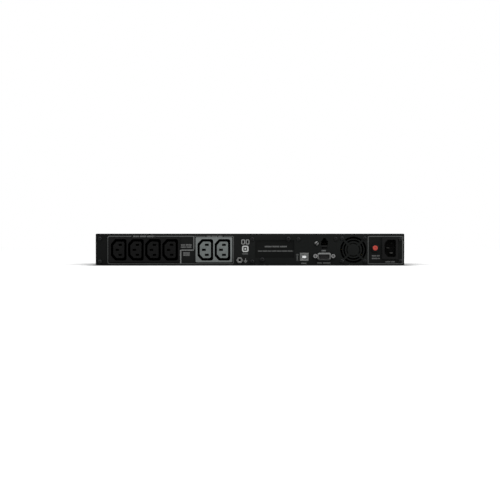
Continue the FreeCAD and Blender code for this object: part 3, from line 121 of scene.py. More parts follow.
class Material(Graph):
    """A principled material with patterns placed in object space."""

    def __init__(self, name):
        self.material = bpy.data.materials.new(name)
        MATERIALS[name] = self.material
        super().__init__(self.material)
        self.output = self.node("ShaderNodeOutputMaterial")
        self.shader = self.node("ShaderNodeBsdfPrincipled")
        self.feed(self.output.inputs[0], self.shader.outputs[0])
        self.place = self.node("ShaderNodeTexCoord").outputs["Object"]
        self.axes = None

    def noise(self, scale, detail=3.0, rough=0.55, stretch=None, distortion=0.0):
        place = self.place
        if stretch:
            place = self.node("ShaderNodeMapping", {"Scale": stretch, 0: place}).outputs[0]
        inputs = {"Scale": scale, "Detail": detail, "Roughness": rough,
                  "Distortion": distortion, "Vector": place}
        return self.node("ShaderNodeTexNoise", inputs).outputs["Fac"]

    def mix(self, factor, first, second):
        inputs = {0: factor, 6: first, 7: second}
        return self.node("ShaderNodeMix", inputs, data_type="RGBA").outputs[2]

    def tones(self, factor, color, dark, light):
        """Drift between a darker and a lighter shade of one colour."""
        return self.mix(factor, opaque(color, dark), opaque(color, light))

    def position(self, axis):
        if self.axes is None:
            self.axes = self.node("ShaderNodeSeparateXYZ", {0: self.place}).outputs
        return self.axes[axis]

    def ramp(self, value, start, end, to=(0.0, 1.0)):
        """Remap a position, with start and end in mm."""
        return self.remap(value, span=(start * MM, end * MM), to=to)

    def fade_inward(self, start, end):
        """1 at start falling to 0 at end, in mm inward from the connector panel's face."""
        return self.ramp(self.position("Y"), PANEL_Y + start, PANEL_Y + end, to=(1.0, 0.0))

    def edge_mask(self, radius):
        """0 on flats, 1 on sharp edges."""
        bevel = self.node("ShaderNodeBevel", {"Radius": radius * MM}, samples=4)
        geometry = self.node("ShaderNodeNewGeometry")
        facing = self.dot(bevel.outputs[0], geometry.outputs["Normal"])
        return self.remap(self.math("SUBTRACT", 1.0, facing), span=(0.02, 0.25))

    def relief(self, bumps, round_mm=0.0):
        """Rounded edges, then bumps given as (height, strength, distance in mm)."""
        normal = None
        if round_mm:
            bevel = self.node("ShaderNodeBevel", {"Radius": round_mm * MM}, samples=3)
            normal = bevel.outputs[0]
        for height, strength, distance in bumps:
            inputs = {"Strength": strength, "Distance": distance * MM, "Height": height}
            if normal is not None:
                inputs["Normal"] = normal
            normal = self.node("ShaderNodeBump", inputs).outputs[0]
        self.feed(self.shader.inputs["Normal"], normal)

    def surface(self, **settings):
        for key, value in settings.items():
            self.feed(self.shader.inputs[SURFACE_SOCKETS[key]], value)


def opaque(color, factor=1.0, add=0.0):
    """Scale and lift an RGB colour, capped at 1, and give it full alpha."""
    return tuple(min(1, c * factor + add) for c in color) + (1,)


def grey(value):
    return (value, value, value)


# ------------------------------------------------------------------ kinds of material
def powder(name, color, wear, spec, painted_shade_ends=None):
    """Powder-coated sheet: orange-peel grain, soft tonal drift, edges rubbed lighter.
    Its last argument gives (x start, x end, shade) for painted shade over the low-X end, where
    less light falls, then the same for painted shade over the high-X end."""
    mat = Material(name)
    drift = mat.noise(scale=9.0, detail=4.0, rough=0.6)
    fine = mat.noise(scale=2600.0, detail=2.0, rough=0.6)
    peel = mat.noise(scale=900.0, detail=3.0, rough=0.5)
    tone = mat.tones(mat.remap(drift, NOISE_SPAN), color, dark=0.86, light=1.16)
    specks = mat.remap(fine, span=(0.62, 0.8), to=(0, 0.35))
    tone = mat.mix(specks, tone, opaque(color, factor=2.2, add=0.004))
    # painted shade: darker towards both X ends of the panel, most at the low-X end
    if painted_shade_ends:
        (start, end, shade), (far_start, far_end, far_shade) = painted_shade_ends
        fade = mat.ramp(mat.position("X"), start, end)
        tone = mat.mix(fade, opaque(color, shade), tone)
        fade = mat.ramp(mat.position("X"), far_start, far_end)
        tone = mat.mix(fade, tone, opaque(color, far_shade))
    edge = mat.edge_mask(radius=0.35)
    scuffs = mat.noise(scale=160.0, detail=5.0, rough=0.7)
    scuffs = mat.remap(scuffs, span=(0.42, 0.66), to=(0.15, 1.0))
    worn = mat.multiply(edge, scuffs, wear)
    tone = mat.mix(worn, tone, opaque(color, factor=3.0, add=0.02))
    mat.surface(color=tone, spec=spec, rough=mat.remap(peel, NOISE_SPAN, to=(0.48, 0.64)))
    mat.relief([(peel, 0.28, 0.05), (fine, 0.22, 0.02)], round_mm=0.3)


def plastic(name, color, rough=0.5, spec=0.3, grain=1.0, round_mm=0.2, wear=0.25, fine=1500.0,
            painted_shade_depth=None):
    """Moulded plastic: spark-eroded texture, faint flow marks, soft edges.
    The last argument gives distances in from the connector panel over which the walls of a well
    fade to painted shade."""
    mat = Material(name)
    flow = mat.noise(scale=40.0, detail=3.0, rough=0.5, stretch=(1.0, 1.0, 2.5), distortion=0.8)
    texture = mat.noise(scale=fine, detail=2.0, rough=0.6)
    tone = mat.tones(mat.remap(flow, NOISE_SPAN), color, dark=0.92, light=1.08)
    worn = mat.multiply(mat.edge_mask(radius=0.25), wear)
    tone = mat.mix(worn, tone, opaque(color, factor=1.6, add=0.02))
    # painted shade: the walls of a well darken inward, where less light reaches
    if painted_shade_depth:
        lit = mat.fade_inward(*painted_shade_depth)
        tone = mat.mix(lit, opaque(grey(0.0012)), tone)
        spec = mat.multiply(lit, spec)
    roughness = mat.remap(texture, NOISE_SPAN, to=(rough - 0.06, rough + 0.08))
    mat.surface(color=tone, spec=spec, rough=roughness)
    mat.relief([(texture, 0.3 * grain, 0.03)], round_mm)


def metal(name, color, rough, stretch, scale=300.0, round_mm=0.15, wear=0.3, metallic=1.0,
          painted_shade_depth=None, painted_shade_grey=0.004, low=None):
    """Plated or brushed metal: drawn lines, smudges, bright edges.
    Given distances in from the connector panel, holes fade to a grey of painted shade.
    low: (z start, z end, shade) of a painted shade on the lower side, away from the light above."""
    mat = Material(name)
    lines = mat.noise(scale=scale, detail=3.0, rough=0.6, stretch=stretch)
    smudge = mat.noise(scale=30.0, detail=4.0, rough=0.6)
    tone = mat.tones(mat.remap(smudge, NOISE_SPAN), color, dark=0.82, light=1.12)
    worn = mat.multiply(mat.edge_mask(radius=0.25), wear)
    tone = mat.mix(worn, tone, opaque(color, factor=1.5, add=0.1))
    # painted shade: holes darken inward from the connector panel
    if painted_shade_depth:
        tone = mat.mix(mat.fade_inward(*painted_shade_depth), opaque(grey(painted_shade_grey)), tone)
    # painted shade: the lower side darker, away from the light above
    if low:
        start, end, shade = low
        tone = mat.mix(mat.ramp(mat.position("Z"), start, end), opaque(color, shade), tone)
    roughness = mat.remap(lines, NOISE_SPAN, to=(rough - 0.1, rough + 0.12))
    mat.surface(color=tone, metal=metallic, rough=roughness)
    mat.relief([(lines, 0.18, 0.02)], round_mm)


def ink(name, color):
    """Screen-printed legend: slightly uneven cover."""
    mat = Material(name)
    mottle = mat.noise(scale=1400.0, detail=3.0, rough=0.6)
    tone = mat.tones(mat.remap(mottle, span=(0.35, 0.75)), color, dark=0.82, light=1.15)
    mat.surface(color=tone, spec=0.2, rough=mat.remap(mottle, NOISE_SPAN, to=(0.5, 0.65)))
    mat.relief([(mottle, 0.15, 0.01)])


# ------------------------------------------------------------------ one-off materials
def circuit_board():
    """Green solder mask with a fine brick pattern standing in for tracks."""
    mat = Material("solder_mask_green")
    tracks = mat.node("ShaderNodeTexBrick", {
        "Scale": 260.0,
        "Color1": (0.012, 0.075, 0.030, 1),
        "Color2": (0.016, 0.098, 0.040, 1),
        "Mortar": (0.030, 0.16, 0.070, 1),
        "Mortar Size": 0.03,
        "Vector": mat.place,
    })
    mat.surface(color=tracks.outputs["Color"], spec=0.5, rough=0.3)
    mat.relief([(tracks.outputs["Fac"], 0.2, 0.03)], round_mm=0.1)


def transformer_tape():
    """Turns round the transformer ring, as stripes around its axis."""
    turn_count = 64
    to_ring_axis = (-0.1585, 0.092, 0)        # metres
    mat = Material("transformer_tape")
    around = mat.node("ShaderNodeMapping", {"Location": to_ring_axis, 0: mat.place}).outputs[0]
    angle = mat.node("ShaderNodeTexGradient", {0: around}, gradient_type="RADIAL").outputs["Fac"]
    turns = mat.math("SINE", mat.multiply(angle, math.tau * turn_count))
    stripes = mat.remap(turns, span=(-1, 1))
    tone = mat.mix(stripes, (0.36, 0.25, 0.06, 1), (0.60, 0.45, 0.14, 1))
    mat.surface(color=tone, spec=0.45, rough=0.28)
    mat.relief([(turns, 0.6, 0.25)])


def display_back():
    """Softly lit blue-grey display with a faint dot grid; the bars on it are geometry."""
    mat = Material("display_glass_back")
    checker = mat.node("ShaderNodeTexChecker", {"Scale": 2600.0, "Vector": mat.place})
    dots = checker.outputs["Fac"]
    tone = mat.mix(mat.multiply(dots, 0.35), (0.055, 0.105, 0.160, 1), (0.040, 0.080, 0.125, 1))
    mat.surface(color=tone, spec=0.5, rough=0.25, emit=(0.06, 0.17, 0.34, 1), emit_strength=0.35)
    mat.relief([(dots, 0.05, 0.01)])


def smoked_lens():
    mat = Material("lens_smoked")
    smear = mat.noise(scale=25.0, detail=4.0, rough=0.6)
    roughness = mat.remap(smear, span=(0.35, 0.7), to=(0.0, 0.02))
    mat.surface(color=(0.55, 0.58, 0.62, 1), trans=0.95, ior=1.46, rough=roughness, spec=0.4)
    mat.relief([], round_mm=0.25)


def tray_sheet():
    """Galvanised sheet, painted black towards the front."""
    paint_start, paint_end = 2.12, 2.18       # y over which bare zinc gives way to paint
    mat = Material("tray_sheet")
    cells = mat.node("ShaderNodeTexVoronoi", {"Scale": 140.0, "Vector": mat.place})
    lines = mat.noise(scale=160.0, detail=3.0, rough=0.6, stretch=(1, 6, 1))
    spangle = mat.remap(cells.outputs["Color"], span=(0.2, 0.8))
    zinc = mat.mix(spangle, (0.36, 0.38, 0.39, 1), (0.52, 0.54, 0.55, 1))
    worn = mat.multiply(mat.edge_mask(radius=0.3), 0.35)
    zinc = mat.mix(worn, zinc, (0.75, 0.76, 0.76, 1))
    bare = mat.ramp(mat.position("Y"), paint_start, paint_end, to=(1.0, 0.0))
    grain = mat.noise(scale=1800.0, detail=2.0, rough=0.6)
    paint = mat.mix(mat.remap(grain, NOISE_SPAN),
                    (0.0075, 0.0080, 0.0080, 1), (0.0100, 0.0108, 0.0106, 1))
    roughness = mat.math("ADD", mat.remap(lines, NOISE_SPAN, to=(0.32, 0.5)), 0.02)
    mat.surface(color=mat.mix(bare, paint, zinc), metal=bare, rough=roughness, spec=0.25)
    mat.relief([(lines, 0.15, 0.02), (grain, 0.12, 0.02)], round_mm=0.25)


def battery_abs():
    """Matt battery case: moulded grain, faint scuffs."""
    mat = Material("battery_abs")
    grain = mat.noise(scale=1300.0, detail=3.0, rough=0.6)
    scuffs = mat.noise(scale=45.0, detail=6.0, rough=0.72, stretch=(1.0, 4.0, 1.0),
                       distortion=0.6)
    tone = mat.mix(mat.remap(scuffs, span=(0.35, 0.7)),
                   (0.030, 0.033, 0.037, 1), (0.044, 0.047, 0.052, 1))
    worn = mat.multiply(mat.edge_mask(radius=0.5), 0.5)
    tone = mat.mix(worn, tone, (0.10, 0.105, 0.11, 1))
    mat.surface(color=tone, spec=0.28, rough=mat.remap(scuffs, NOISE_SPAN, to=(0.42, 0.66)))
    mat.relief([(grain, 0.3, 0.04)], round_mm=0.4)


# ------------------------------------------------------------------ palette
CASE = (0.0086, 0.0096, 0.0092)
# the panel's ends are painted darker, as painted shade
powder("panel_powder", (0.0076, 0.0087, 0.0081), wear=0.12, spec=0.12,
       painted_shade_ends=((-200.0, -60.0, 0.65), (163.0, 172.0, 0.82)))
powder("case_powder", CASE, wear=0.10, spec=0.15)
powder("ear_powder", CASE, wear=0.9, spec=0.15)
# the recessed expansion cover is painted darker than the panel, as painted shade
powder("expansion_powder", (0.0055, 0.0061, 0.0057), wear=0.3, spec=0.10)

# the outlets' and the jack's wells are painted darker inward, as painted shade
plastic("outlet_black", grey(0.0072), rough=0.55, spec=0.10, painted_shade_depth=(0.4, 3.5))
plastic("outlet_core_black", grey(0.0059), spec=0.12, painted_shade_depth=(0.3, 2.5))
plastic("outlet_grey", (0.140, 0.152, 0.149), spec=0.16, painted_shade_depth=(0.5, 3.2))
plastic("outlet_core_grey", (0.127, 0.141, 0.137), spec=0.16, painted_shade_depth=(0.3, 2.4))
plastic("inlet_black", grey(0.0085), spec=0.12)
plastic("jack_black", grey(0.0100), rough=0.4, spec=0.16, painted_shade_depth=(1.5, 2.6))
plastic("breaker_collar", grey(0.0068), rough=0.4, spec=0.2)
plastic("fan_black", grey(0.0030), rough=0.55, spec=0.12)
plastic("rotor_black", (0.0042, 0.0042, 0.0043), spec=0.15)
plastic("bezel_black", (0.0110, 0.0120, 0.0118), rough=0.48, spec=0.25, grain=1.3, round_mm=0.3,
        fine=1100.0)
plastic("button_grey", (0.105, 0.110, 0.112), rough=0.42, spec=0.35)
plastic("reset_red", (0.40, 0.052, 0.038), rough=0.38, spec=0.2, grain=0.5, round_mm=0.4,
        wear=0.0)
plastic("port_white", (0.84, 0.86, 0.85), rough=0.45, grain=0.5)
plastic("port_insulator", (0.040, 0.040, 0.041))
# dark frames of painted shade round the grey outlets' slots
plastic("slot_painted_shade", (0.010, 0.011, 0.0105), rough=0.6, spec=0.08)
# the fan's coil is painted near black, as painted shade behind the grille
plastic("motor_coil_painted_shade", (0.006, 0.0045, 0.004), spec=0.2)
plastic("pad_rubber", grey(0.012), rough=0.8, spec=0.2, grain=1.5)
plastic("relay_case", (0.010, 0.011, 0.014), rough=0.3, spec=0.4)
plastic("capacitor_sleeve", (0.012, 0.02, 0.05), rough=0.25, spec=0.45)
plastic("wire_red", (0.34, 0.014, 0.012), rough=0.4, spec=0.4, grain=0.3)
plastic("wire_mixed", (0.02, 0.022, 0.03), rough=0.4, spec=0.4, grain=0.3)
plastic("battery_label", (0.42, 0.43, 0.43), rough=0.45, spec=0.25, grain=0.3, round_mm=0.05,
        wear=0.0)

# directions the surface lines are drawn in, and how fine they are
SHELL = {"stretch": (14, 1, 1)}
SCREW = {"stretch": (1, 1, 1), "scale": 500.0}
CONTACT = {"stretch": (1, 10, 1), "scale": 400.0}
metal("serial_shell_steel", (0.22, 0.225, 0.22), rough=0.40, **SHELL)
# the lip's lower side is painted darker, as painted shade under the light from above
metal("serial_lip_nickel", (0.62, 0.63, 0.62), rough=0.40, wear=0.0, low=(-13.9, -12.2, 0.16),
      **SHELL)
metal("port_steel", (0.50, 0.51, 0.50), rough=0.36, **SHELL)
# the jackscrews' threaded holes fade to painted shade
metal("jackscrew_nickel", (0.80, 0.805, 0.80), rough=0.34, painted_shade_depth=(-4.6, -3.0), painted_shade_grey=0.30,
      **SCREW)
metal("screw_black_oxide", (0.034, 0.035, 0.036), rough=0.36, stretch=(1, 1, 1), scale=700.0,
      round_mm=1.5, wear=0.0, metallic=0.7)
metal("screw_zinc", (0.40, 0.41, 0.40), rough=0.34, **SCREW)
# the earth screw's recess fades to painted shade
metal("earth_zinc", (0.50, 0.51, 0.50), rough=0.34, painted_shade_depth=(-1.35, -0.75), painted_shade_grey=0.03, **SCREW)
metal("contact_brass", (0.60, 0.43, 0.17), rough=0.3, **CONTACT)
# the outlet blades are painted near black, as painted shade deep in the slots
metal("contact_painted_shade", (0.016, 0.014, 0.011), rough=0.45, **CONTACT)
# the inlet pins are painted dark, as painted shade in the inlet's well
metal("inlet_pin_painted_shade", (0.11, 0.11, 0.105), rough=0.42, **CONTACT)
# the signal contacts are painted dull grey, as painted shade inside their connectors
metal("gold_flash_painted_shade", (0.20, 0.19, 0.165), rough=0.4, **CONTACT)
metal("extruded_aluminium", (0.62, 0.63, 0.64), rough=0.35, stretch=(1, 20, 1), scale=200.0)
metal("enamelled_copper", (0.42, 0.17, 0.06), rough=0.3, stretch=(1, 1, 30), scale=400.0)

ink("legend_ink", (0.078, 0.082, 0.080))
ink("legend_ink_light", (0.25, 0.255, 0.25))
ink("legend_ink_bright", (0.42, 0.43, 0.42))
ink("legend_ink_step", (0.185, 0.190, 0.187))
ink("legend_ink_riser", (0.104, 0.108, 0.106))
ink("legend_ink_label", (0.130, 0.133, 0.131))
ink("legend_ink_cover", (0.115, 0.118, 0.116))
ink("battery_label_band", (0.030, 0.105, 0.150))
ink("battery_label_print", (0.05, 0.05, 0.055))
ink("display_segments", (0.62, 0.72, 0.80))

circuit_board()
transformer_tape()
display_back()
smoked_lens()
tray_sheet()
battery_abs()

PIECES_BY_MATERIAL = {
    "case_powder": "chassis_tray top_cover",
    "panel_powder": "rear_panel",
    "ear_powder": "rack_ear_left rack_ear_right",
    "expansion_powder": "expansion_cover",
    "outlet_black": "outlet_bank_main_shell tray_handle",
    "outlet_core_black": "outlet_bank_main_core",
    "outlet_grey": "outlet_bank_aux_shell",
    "outlet_core_grey": "outlet_bank_aux_core",
    "inlet_black": "ac_inlet_shell",
    "jack_black": "epo_jack",
    "breaker_collar": "breaker_body breaker_nut",
    "fan_black": "fan_frame",
    "rotor_black": "fan_rotor",
    "bezel_black": "battery_fascia control_bezel",
    "button_grey": "power_button display_button mute_button",
    "reset_red": "breaker_button",
    "port_white": "usb_core",
    "port_insulator": "expansion_card_guides serial_core battery_socket battery_plug",
    "motor_coil_painted_shade": "fan_stator",
    "pad_rubber": "transformer_pads",
    "relay_case": "power_transistors relays",
    "capacitor_sleeve": "capacitors",
    "wire_red": "battery_leads",
    "wire_mixed": "power_wiring",
    "serial_shell_steel": "serial_shell",
    "port_steel": "usb_shell",
    "jackscrew_nickel": "serial_jackscrews",
    "screw_black_oxide": "rear_panel_screws fan_screws",
    "screw_zinc": "case_screws board_mounts transformer_clamp tray_screws",
    "earth_zinc": "grounding_screws",
    "contact_brass": "fan_bearing",
    "contact_painted_shade": "power_contacts",
    "inlet_pin_painted_shade": "ac_inlet_pins",
    "gold_flash_painted_shade": "signal_contacts",
    "extruded_aluminium": "heatsinks",
    "enamelled_copper": "filter_chokes",
    "solder_mask_green": "comm_board main_board ui_board",
    "transformer_tape": "transformer_coil",
    "display_glass_back": "lcd_module",
    "lens_smoked": "lcd_lens",
    "tray_sheet": "battery_bulkhead battery_tray",
    "battery_abs": "battery_blocks",
}
MATERIAL_OF = {piece: material for material, pieces in PIECES_BY_MATERIAL.items()
               for piece in pieces.split()}
for name, piece in nodes.items():
    piece.data.materials.clear()
    piece.data.materials.append(MATERIALS[MATERIAL_OF[name]])


# ------------------------------------------------------------------ mesh helpers
# Outlines are flat lists of (x, z), or of (x, y) where they lie level. A span is a pair of
# places along the remaining axis.
def add_mesh(name, bm, material, body):
    bmesh.ops.recalc_face_normals(bm, faces=bm.faces)
    mesh = bpy.data.meshes.new(name)
    bm.to_mesh(mesh)
    bm.free()
    obj = bpy.data.objects.new(name, mesh)
    bpy.context.scene.collection.objects.link(obj)
    mesh.materials.append(MATERIALS[material])
    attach(obj, body)


def add_vertex(bm, x, y, z):
    return bm.verts.new((x * MM, y * MM, z * MM))


def bridge(bm, first, second):
    """Quads between two closed loops of equal length."""
    for i in range(len(first)):
        j = (i + 1) % len(first)
        bm.faces.new((first[i], second[i], second[j], first[j]))


def round_path(corners, radius=None, closed=False, steps=5):
    """Polyline with rounded corners. A corner is (x, z) or (x, z, its own radius)."""
    path = []
    count = len(corners)
    for i, corner in enumerate(corners):
        if not closed and i in (0, count - 1):
            path.append(corner)
            continue
        bend = corner[2] if len(corner) > 2 else radius
        point = Vector(corner[:2])
        back = (Vector(corners[i - 1][:2]) - point).normalized()
        ahead = (Vector(corners[(i + 1) % count][:2]) - point).normalized()
        half_angle = back.angle(ahead) / 2
        tangent = bend / math.tan(half_angle)
        centre = point + (back + ahead).normalized() * (bend / math.sin(half_angle))
        start = point + back * tangent - centre
        end = point + ahead * tangent - centre
        start_angle = math.atan2(start.y, start.x)
        sweep = math.remainder(math.atan2(end.y, end.x) - start_angle, math.tau)
        for step in range(steps + 1):
            angle = start_angle + sweep * step / steps
            path.append((centre[0] + bend * math.cos(angle), centre[1] + bend * math.sin(angle)))
    return path


def rect(x_min, x_max, z_min, z_max):
    return [(x_min, z_min), (x_max, z_min), (x_max, z_max), (x_min, z_max)]


def round_rect(x_min, x_max, z_min, z_max, radius, steps=4):
    return round_path(rect(x_min, x_max, z_min, z_max), radius, closed=True, steps=steps)


def stroke(bm, line, widths, span, closed=False):
    """A flat printed line with one width, or a width per point."""
    least_mitre = 0.3                         # keeps sharp corners from shooting out
    points = [Vector(point) for point in line]
    count = len(points)
    if isinstance(widths, (int, float)):
        widths = [widths] * count
    near, far = span
    sections = []
    for i, (point, width) in enumerate(zip(points, widths)):
        arriving = (point - points[i - 1]).normalized()
        leaving = (points[(i + 1) % count] - point).normalized()
        if not closed and i == 0:
            arriving = leaving
        if not closed and i == count - 1:
            leaving = arriving
        across = Vector((-(arriving.y + leaving.y), arriving.x + leaving.x)).normalized()
        mitre = 1.0 / max(least_mitre, across.dot(Vector((-arriving.y, arriving.x))))
        offset = across * (width / 2) * mitre
        left, right = point + offset, point - offset
        sections.append([add_vertex(bm, side.x, y, side.y) for side, y in
                         ((left, near), (right, near), (right, far), (left, far))])
    for first, second in zip(sections, sections[1:]):
        bridge(bm, first, second)
    if closed:
        bridge(bm, sections[-1], sections[0])
    else:
        bm.faces.new(sections[0])
        bm.faces.new(sections[-1][::-1])


def prism(bm, outline, span):
    """Closed prism of an upright outline in x, z."""
    cap_prism(bm, *[[add_vertex(bm, x, y, z) for x, z in outline] for y in span])


def level_prism(bm, outline, span):
    """Closed prism of a level outline in x, y."""
    cap_prism(bm, *[[add_vertex(bm, x, y, z) for x, y in outline] for z in span])


def cap_prism(bm, first, second):
    bm.faces.new(first)
    bm.faces.new(second[::-1])
    bridge(bm, first, second)


def ring(bm, outer, inner, back_y, front_y, soft):
    """Closed ring with softened front edges, between two loops with equal point counts."""
    count = len(outer)
    centre = Vector((sum(x for x, z in outer) / count, sum(z for x, z in outer) / count))

    def inset(loop, distance):
        arms = [Vector(point) - centre for point in loop]
        return [tuple(centre + arm * (1 - distance / arm.length)) for arm in arms]

    slight = soft * 0.35                      # the point halfway round a softened edge
    profile = [
        (outer, back_y),
        (outer, front_y + soft),
        (inset(outer, slight), front_y + slight),
        (inset(outer, soft), front_y),
        (inset(inner, -soft), front_y),
        (inset(inner, -slight), front_y + slight),
        (inner, front_y + soft),
        (inner, back_y),
    ]
    loops = [[add_vertex(bm, x, y, z) for x, z in loop] for loop, y in profile]
    for first, second in zip(loops, loops[1:] + loops[:1]):
        bridge(bm, first, second)


# ------------------------------------------------------------------ printed legends
def print_span(face_y):
    """Ink on a face that looks towards -Y: barely proud of it and slightly sunk in."""
    return face_y - 0.05, face_y + 0.01


PANEL_PRINT = print_span(PANEL_Y)
GROUP_TOP, GROUP_BOTTOM = 18.4, -20.1
SECOND_TOP = GROUP_TOP - 0.1                  # top line of the second outlet group and the inlet
MAIN_LEFT = -199.4
AUX_RIGHT = -23.3

# greeked labels: x start, x end, z, height, seed
PANEL_LABELS = (
    (-164.0, -133.0, 18.3, 2.5, 3), (-60.8, -38.6, 18.3, 2.1, 5),
    (-96.8, -81.6, 6.35, 2.1, 11), (-96.8, -81.6, 3.35, 2.1, 12),
    (-93.6, -84.4, -4.95, 2.6, 13), (-93.6, -84.4, -7.80, 2.6, 14),
    (100.3, 108.0, -1.75, 2.2, 21), (72.0, 80.0, -19.3, 1.9, 22),
    (94.7, 114.0, -18.8, 2.3, 23), (171.0, 182.0, -8.9, 1.9, 24),
    (171.0, 182.0, -12.6, 1.9, 25), (190.0, 203.2, -17.3, 1.9, 26),
    (-10.9, -1.7, -6.2, 1.7, 27),
)
COVER_LABELS = ((20.6, 51.6, 4.1, 2.4, 31), (11.2, 61.0, -2.2, 1.7, 32))


def add_panel_print(name, bm, material):
    add_mesh(name, bm, material, "chassis")


def main_line_width(x, z):
    """Heavy along the top, fine down the low-X side and along the bottom."""
    if x < -190 and z < 16.5:
        return 0.78
    return 0.95 if z < -17.5 else 1.28


def outlet_group_lines():
    bm = bmesh.new()
    main = round_path([(-166.4, GROUP_TOP), (MAIN_LEFT, GROUP_TOP), (MAIN_LEFT, GROUP_BOTTOM),
                       (-97.0, GROUP_BOTTOM)], radius=2.2)
    stroke(bm, main, [main_line_width(x, z) for x, z in main], PANEL_PRINT)
    stroke(bm, [(-131.6, GROUP_TOP), (-79.6, GROUP_TOP)], 1.28, PANEL_PRINT)
    # second group: two pieces of top line, then round to the bottom
    stroke(bm, [(-77.2, SECOND_TOP), (-62.4, SECOND_TOP)], 1.05, PANEL_PRINT)
    aux = round_path([(-36.9, SECOND_TOP), (AUX_RIGHT, SECOND_TOP), (AUX_RIGHT, GROUP_BOTTOM),
                      (-96.3, GROUP_BOTTOM)], radius=1.6)
    stroke(bm, aux, [0.95 if z < -17.5 else 1.0 for x, z in aux], PANEL_PRINT)
    add_panel_print("legend_outlet_groups", bm, "legend_ink")


def group_divider():
    """The stepped line between the two outlet groups, in two inks."""
    bm = bmesh.new()
    stroke(bm, [(-97.25, GROUP_BOTTOM - 0.3), (-97.25, -0.70)], 1.8, PANEL_PRINT)
    stroke(bm, [(-96.35, -0.95), (-78.9, -0.95)], 1.24, PANEL_PRINT)
    add_panel_print("legend_group_step", bm, "legend_ink_step")
    bm = bmesh.new()
    stroke(bm, [(-78.75, 0.05), (-78.75, GROUP_TOP + 0.5)], 1.55, PANEL_PRINT)
    add_panel_print("legend_group_riser", bm, "legend_ink_riser")


def inlet_group_line():
    bm = bmesh.new()
    # starts at the upper low-X corner
    corners = [(165.75, SECOND_TOP), (214.0, SECOND_TOP),
               (214.0, GROUP_BOTTOM), (165.75, GROUP_BOTTOM)]
    outline = round_path(corners, radius=1.2, closed=True)
    stroke(bm, outline, 1.08, PANEL_PRINT, closed=True)
    add_panel_print("legend_inlet_group", bm, "legend_ink")


def word_bar(bm, x, x_end, z, height, seed, span):
    """Greeked legend: a row of blank blocks grouped like words, no letters."""
    block_width, block_gap, word_gap = 0.42, 0.45 * 0.32, 0.42      # as shares of the height
    draw = random.Random(seed)
    run = 0
    while x < x_end - 0.5:
        width = min(draw.uniform(0.75, 1.35) * height * block_width, x_end - x)
        block_height = height * draw.uniform(0.86, 1.0)
        bottom = z - height / 2
        radius = min(width, block_height) * 0.22
        prism(bm, round_rect(x, x + width, bottom, bottom + block_height, radius, steps=2), span)
        run += 1
        x += width + block_gap * height
        if run > draw.randint(4, 8):
            x += height * word_gap
            run = 0


def labels():
    bm = bmesh.new()
    for label in PANEL_LABELS:
        word_bar(bm, *label, PANEL_PRINT)
    add_panel_print("legend_labels", bm, "legend_ink_label")
    # the expansion cover is a recessed plate with its own face
    cover_print = print_span(box_mm("expansion_cover")[0][1])
    bm = bmesh.new()
    for label in COVER_LABELS:
        word_bar(bm, *label, cover_print)
    add_mesh("legend_expansion", bm, "legend_ink_cover", "chassis")


def neutral_marks():
    """Two small frames, and below them a heavier one with a block in it."""
    bm = bmesh.new()
    for x in (-9.6, -3.4):
        stroke(bm, round_rect(x - 2.0, x + 2.0, 7.6, 13.4, radius=0.8), 0.95, PANEL_PRINT,
               closed=True)
    add_panel_print("legend_marks", bm, "legend_ink_light")
    x, z, half = -6.6, 0.8, 3.6
    bm = bmesh.new()
    stroke(bm, round_rect(x - half, x + half, z - half, z + half, radius=1.6), 1.8, PANEL_PRINT,
           closed=True)
    prism(bm, round_rect(x - 1.2, x + 1.2, z - 1.2, z + 1.2, radius=0.4), PANEL_PRINT)
    add_panel_print("legend_mark_lower", bm, "legend_ink_bright")


def earth_symbol():
    x, z = -6.3, -15.6
    bm = bmesh.new()
    prism(bm, rect(x - 0.35, x + 0.35, z - 0.2, z + 3.1), PANEL_PRINT)
    for i, half_width in enumerate((2.7, 1.8, 0.8)):
        bar_z = z - 0.55 - i * 1.15
        prism(bm, rect(x - half_width, x + half_width, bar_z - 0.3, bar_z + 0.3), PANEL_PRINT)
    add_panel_print("legend_earth", bm, "legend_ink_light")


def port_mark():
    """An upright stem with a block at each end."""
    bm = bmesh.new()
    prism(bm, round_rect(65.3, 67.2, -15.6, -7.4, radius=0.45), PANEL_PRINT)
    prism(bm, round_rect(64.7, 68.3, -8.6, -6.4, radius=0.6), PANEL_PRINT)
    prism(bm, round_rect(65.2, 67.8, -16.3, -14.6, radius=0.8), PANEL_PRINT)
    add_panel_print("legend_port_mark", bm, "legend_ink")


outlet_group_lines()
group_divider()
inlet_group_line()
labels()
neutral_marks()
earth_symbol()
port_mark()

# ------------------------------------------------------------------ rims on the connector panel
SERIAL_X = 103.95
# corners of the rolled lip: x from the shell's middle, z, corner radius
LIP_OUTER = ((-9.2, -15.6, 2.4), (8.95, -15.6, 2.4), (9.35, -4.98, 2.2), (-9.4, -4.98, 2.2))
LIP_INNER = ((-8.2, -13.60, 1.4), (7.35, -13.60, 1.4), (7.70, -7.1, 1.2), (-8.4, -7.1, 1.2))

AUX_OUTLET_X = (-62.6, -38.6)
AUX_OUTLET_Z = -0.55
SLOT_OFFSETS = ((2.1, 7.0), (2.1, -7.0), (-2.1, 0.0))   # x, z from the outlet's middle


def serial_lip():
    bm = bmesh.new()
    outer, inner = [
        round_path([(SERIAL_X + x, z, radius) for x, z, radius in corners], closed=True, steps=6)
        for corners in (LIP_OUTER, LIP_INNER)]
    ring(bm, outer, inner, back_y=PANEL_Y - 2.8, front_y=PANEL_Y - 3.95, soft=0.35)
    add_mesh("serial_lip", bm, "serial_lip_nickel", "chassis")


